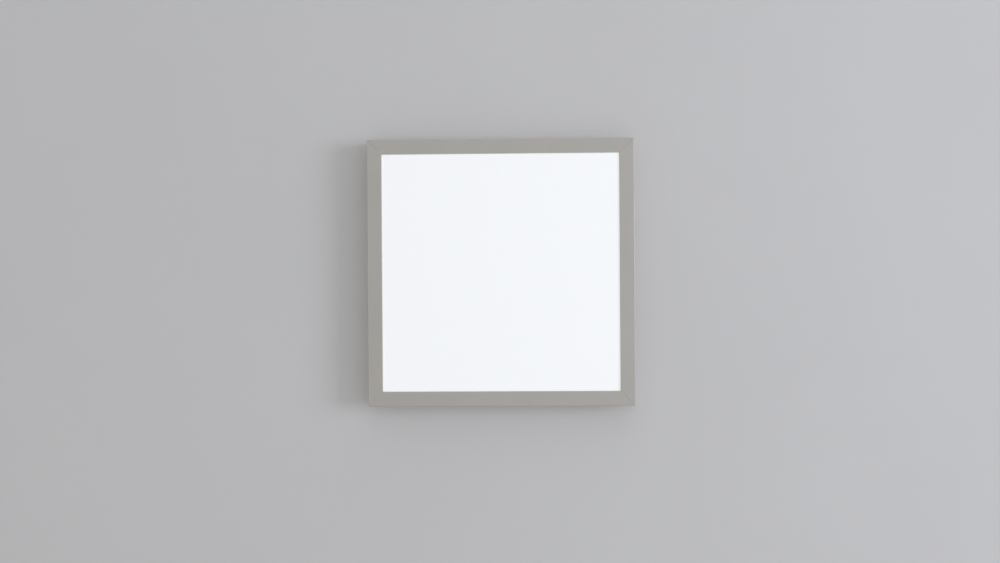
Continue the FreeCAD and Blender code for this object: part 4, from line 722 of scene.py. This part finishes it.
def choke():
    """A ring core with two windings of enamelled wire, each over most of its half."""
    low, high = node_box("line_choke")
    middle = (low + high) / 2
    tube = (high.z - low.z) / 2
    middle_radius = (high.x - low.x) / 2 - tube

    def on_ring(around, over, radius):
        """A point at an angle around the core's ring and an angle over its round section."""
        out = middle_radius + radius * math.cos(over)
        return middle + Vector((out * math.cos(around), out * math.sin(around), radius * math.sin(over)))

    shape = bmesh.new()
    loops = [[shape.verts.new(on_ring(step * math.tau / CHOKE_STEPS, turn * math.tau / CHOKE_SIDES,
                                      tube - 2 * CHOKE_WIRE))
              for turn in range(CHOKE_SIDES)] for step in range(CHOKE_STEPS)]
    skin(shape, [*loops, loops[0]])
    piece("choke_core", to_mesh(shape, "choke_core"), (CORE_COAT,))
    steps = WINDING_TURNS * WINDING_ROWS
    lines = [[on_ring(start + WINDING_ARC * step / steps, step * math.tau / WINDING_ROWS, tube - CHOKE_WIRE)
              for step in range(steps + 1)] for start in WINDING_STARTS]
    piece("choke_windings", wire("choke_windings", lines, CHOKE_WIRE), (ENAMEL,),
          ("line_choke",))


choke()


# Surroundings


def plane(name, half, height, facing):
    """A square stage plane that faces up or down."""
    mesh = bpy.data.meshes.new(name)
    corners = [(-half, -half, height), (half, -half, height), (half, half, height), (-half, half, height)]
    mesh.from_pydata(corners, [], [(0, 1, 2, 3) if facing == "up" else (3, 2, 1, 0)])
    made = bpy.data.objects.new(name, mesh)
    bpy.context.scene.collection.objects.link(made)
    return made


def seen_rays(tree):
    """1 for the rays by which the camera sees something, straight, in metal or through clear plastic."""
    light_path = add(tree, "ShaderNodeLightPath")
    total = light_path.outputs["Is Camera Ray"]
    for kind in ("Is Glossy Ray", "Is Transmission Ray"):
        both = add(tree, "ShaderNodeMath", operation="ADD", use_clamp=True)
        tree.links.new(total, both.inputs[0])
        tree.links.new(light_path.outputs[kind], both.inputs[1])
        total = both.outputs["Value"]
    return total


def ceiling_finish():
    """Matt paint that is seen from the room only; light from above passes, so the back can be seen."""
    made = material("ceiling_paint", CEILING_COLOUR, roughness=0.9, spread=0.012, spread_scale=3.0, grain=0.1,
                    grain_scale=500.0, sockets=(("Specular IOR Level", 0.1),))
    tree = made.node_tree
    side = add(tree, "ShaderNodeNewGeometry")
    room_side = add(tree, "ShaderNodeMath", operation="SUBTRACT", use_clamp=True)
    tree.links.new(seen_rays(tree), room_side.inputs[0])
    tree.links.new(side.outputs["Backfacing"], room_side.inputs[1])
    mix = add(tree, "ShaderNodeMixShader")
    tree.links.new(room_side.outputs["Value"], mix.inputs["Fac"])
    tree.links.new(add(tree, "ShaderNodeBsdfTransparent").outputs["BSDF"], mix.inputs[1])
    tree.links.new(tree.nodes["Principled BSDF"].outputs["BSDF"], mix.inputs[2])
    tree.links.new(mix.outputs["Shader"], tree.nodes["Material Output"].inputs["Surface"])
    return made


ceiling = plane("ceiling_backdrop", CEILING_HALF, CEILING_RISE, "down")
ceiling.data.materials.append(ceiling_finish())
floor = plane("studio_floor", FLOOR_HALF, FLOOR_HEIGHT, "up")
floor.data.materials.append(material("floor_paint", FLOOR_COLOUR, roughness=0.8, spread=0.01,
                                     spread_scale=2.0))


def room_light():
    """An even room that lights everything, behind a pale backdrop that is only seen."""
    world = bpy.data.worlds.new("studio")
    bpy.context.scene.world = world
    world.use_nodes = True
    tree = world.node_tree
    room = tree.nodes["Background"]
    room.inputs["Color"].default_value = (*WORLD_COLOUR, 1)
    room.inputs["Strength"].default_value = WORLD_STRENGTH
    backdrop = add(tree, "ShaderNodeBackground")
    backdrop.inputs["Color"].default_value = (*BACKDROP_COLOUR, 1)
    mix = add(tree, "ShaderNodeMixShader")
    tree.links.new(seen_rays(tree), mix.inputs["Fac"])
    tree.links.new(room.outputs["Background"], mix.inputs[1])
    tree.links.new(backdrop.outputs["Background"], mix.inputs[2])
    tree.links.new(mix.outputs["Shader"], tree.nodes["World Output"].inputs["Surface"])


def soft_lamp(name, place, width, power, colour):
    """A square soft box that faces the light."""
    data = bpy.data.lights.new(name, "AREA")
    data.shape = "SQUARE"
    data.size = width
    data.energy = power
    data.color = colour
    lamp = bpy.data.objects.new(name, data)
    bpy.context.scene.collection.objects.link(lamp)
    lamp.location = place
    lamp.rotation_euler = (-Vector(place)).to_track_quat("-Z", "Y").to_euler()


room_light()
for name, settings in LAMPS.items():
    soft_lamp(name, *settings)


# Camera

camera_data = bpy.data.cameras.new("camera")
camera_data.lens = CAMERA_LENS
camera = bpy.data.objects.new("camera", camera_data)
bpy.context.scene.collection.objects.link(camera)
camera.matrix_world = (Matrix.Translation(CAMERA_PLACE) @ Matrix.Rotation(math.pi, 4, "X")
                       @ Matrix.Rotation(CAMERA_YAW, 4, "Y") @ Matrix.Rotation(CAMERA_ROLL, 4, "Z"))
bpy.context.scene.camera = camera
bpy.context.scene.view_settings.view_transform = "Standard"
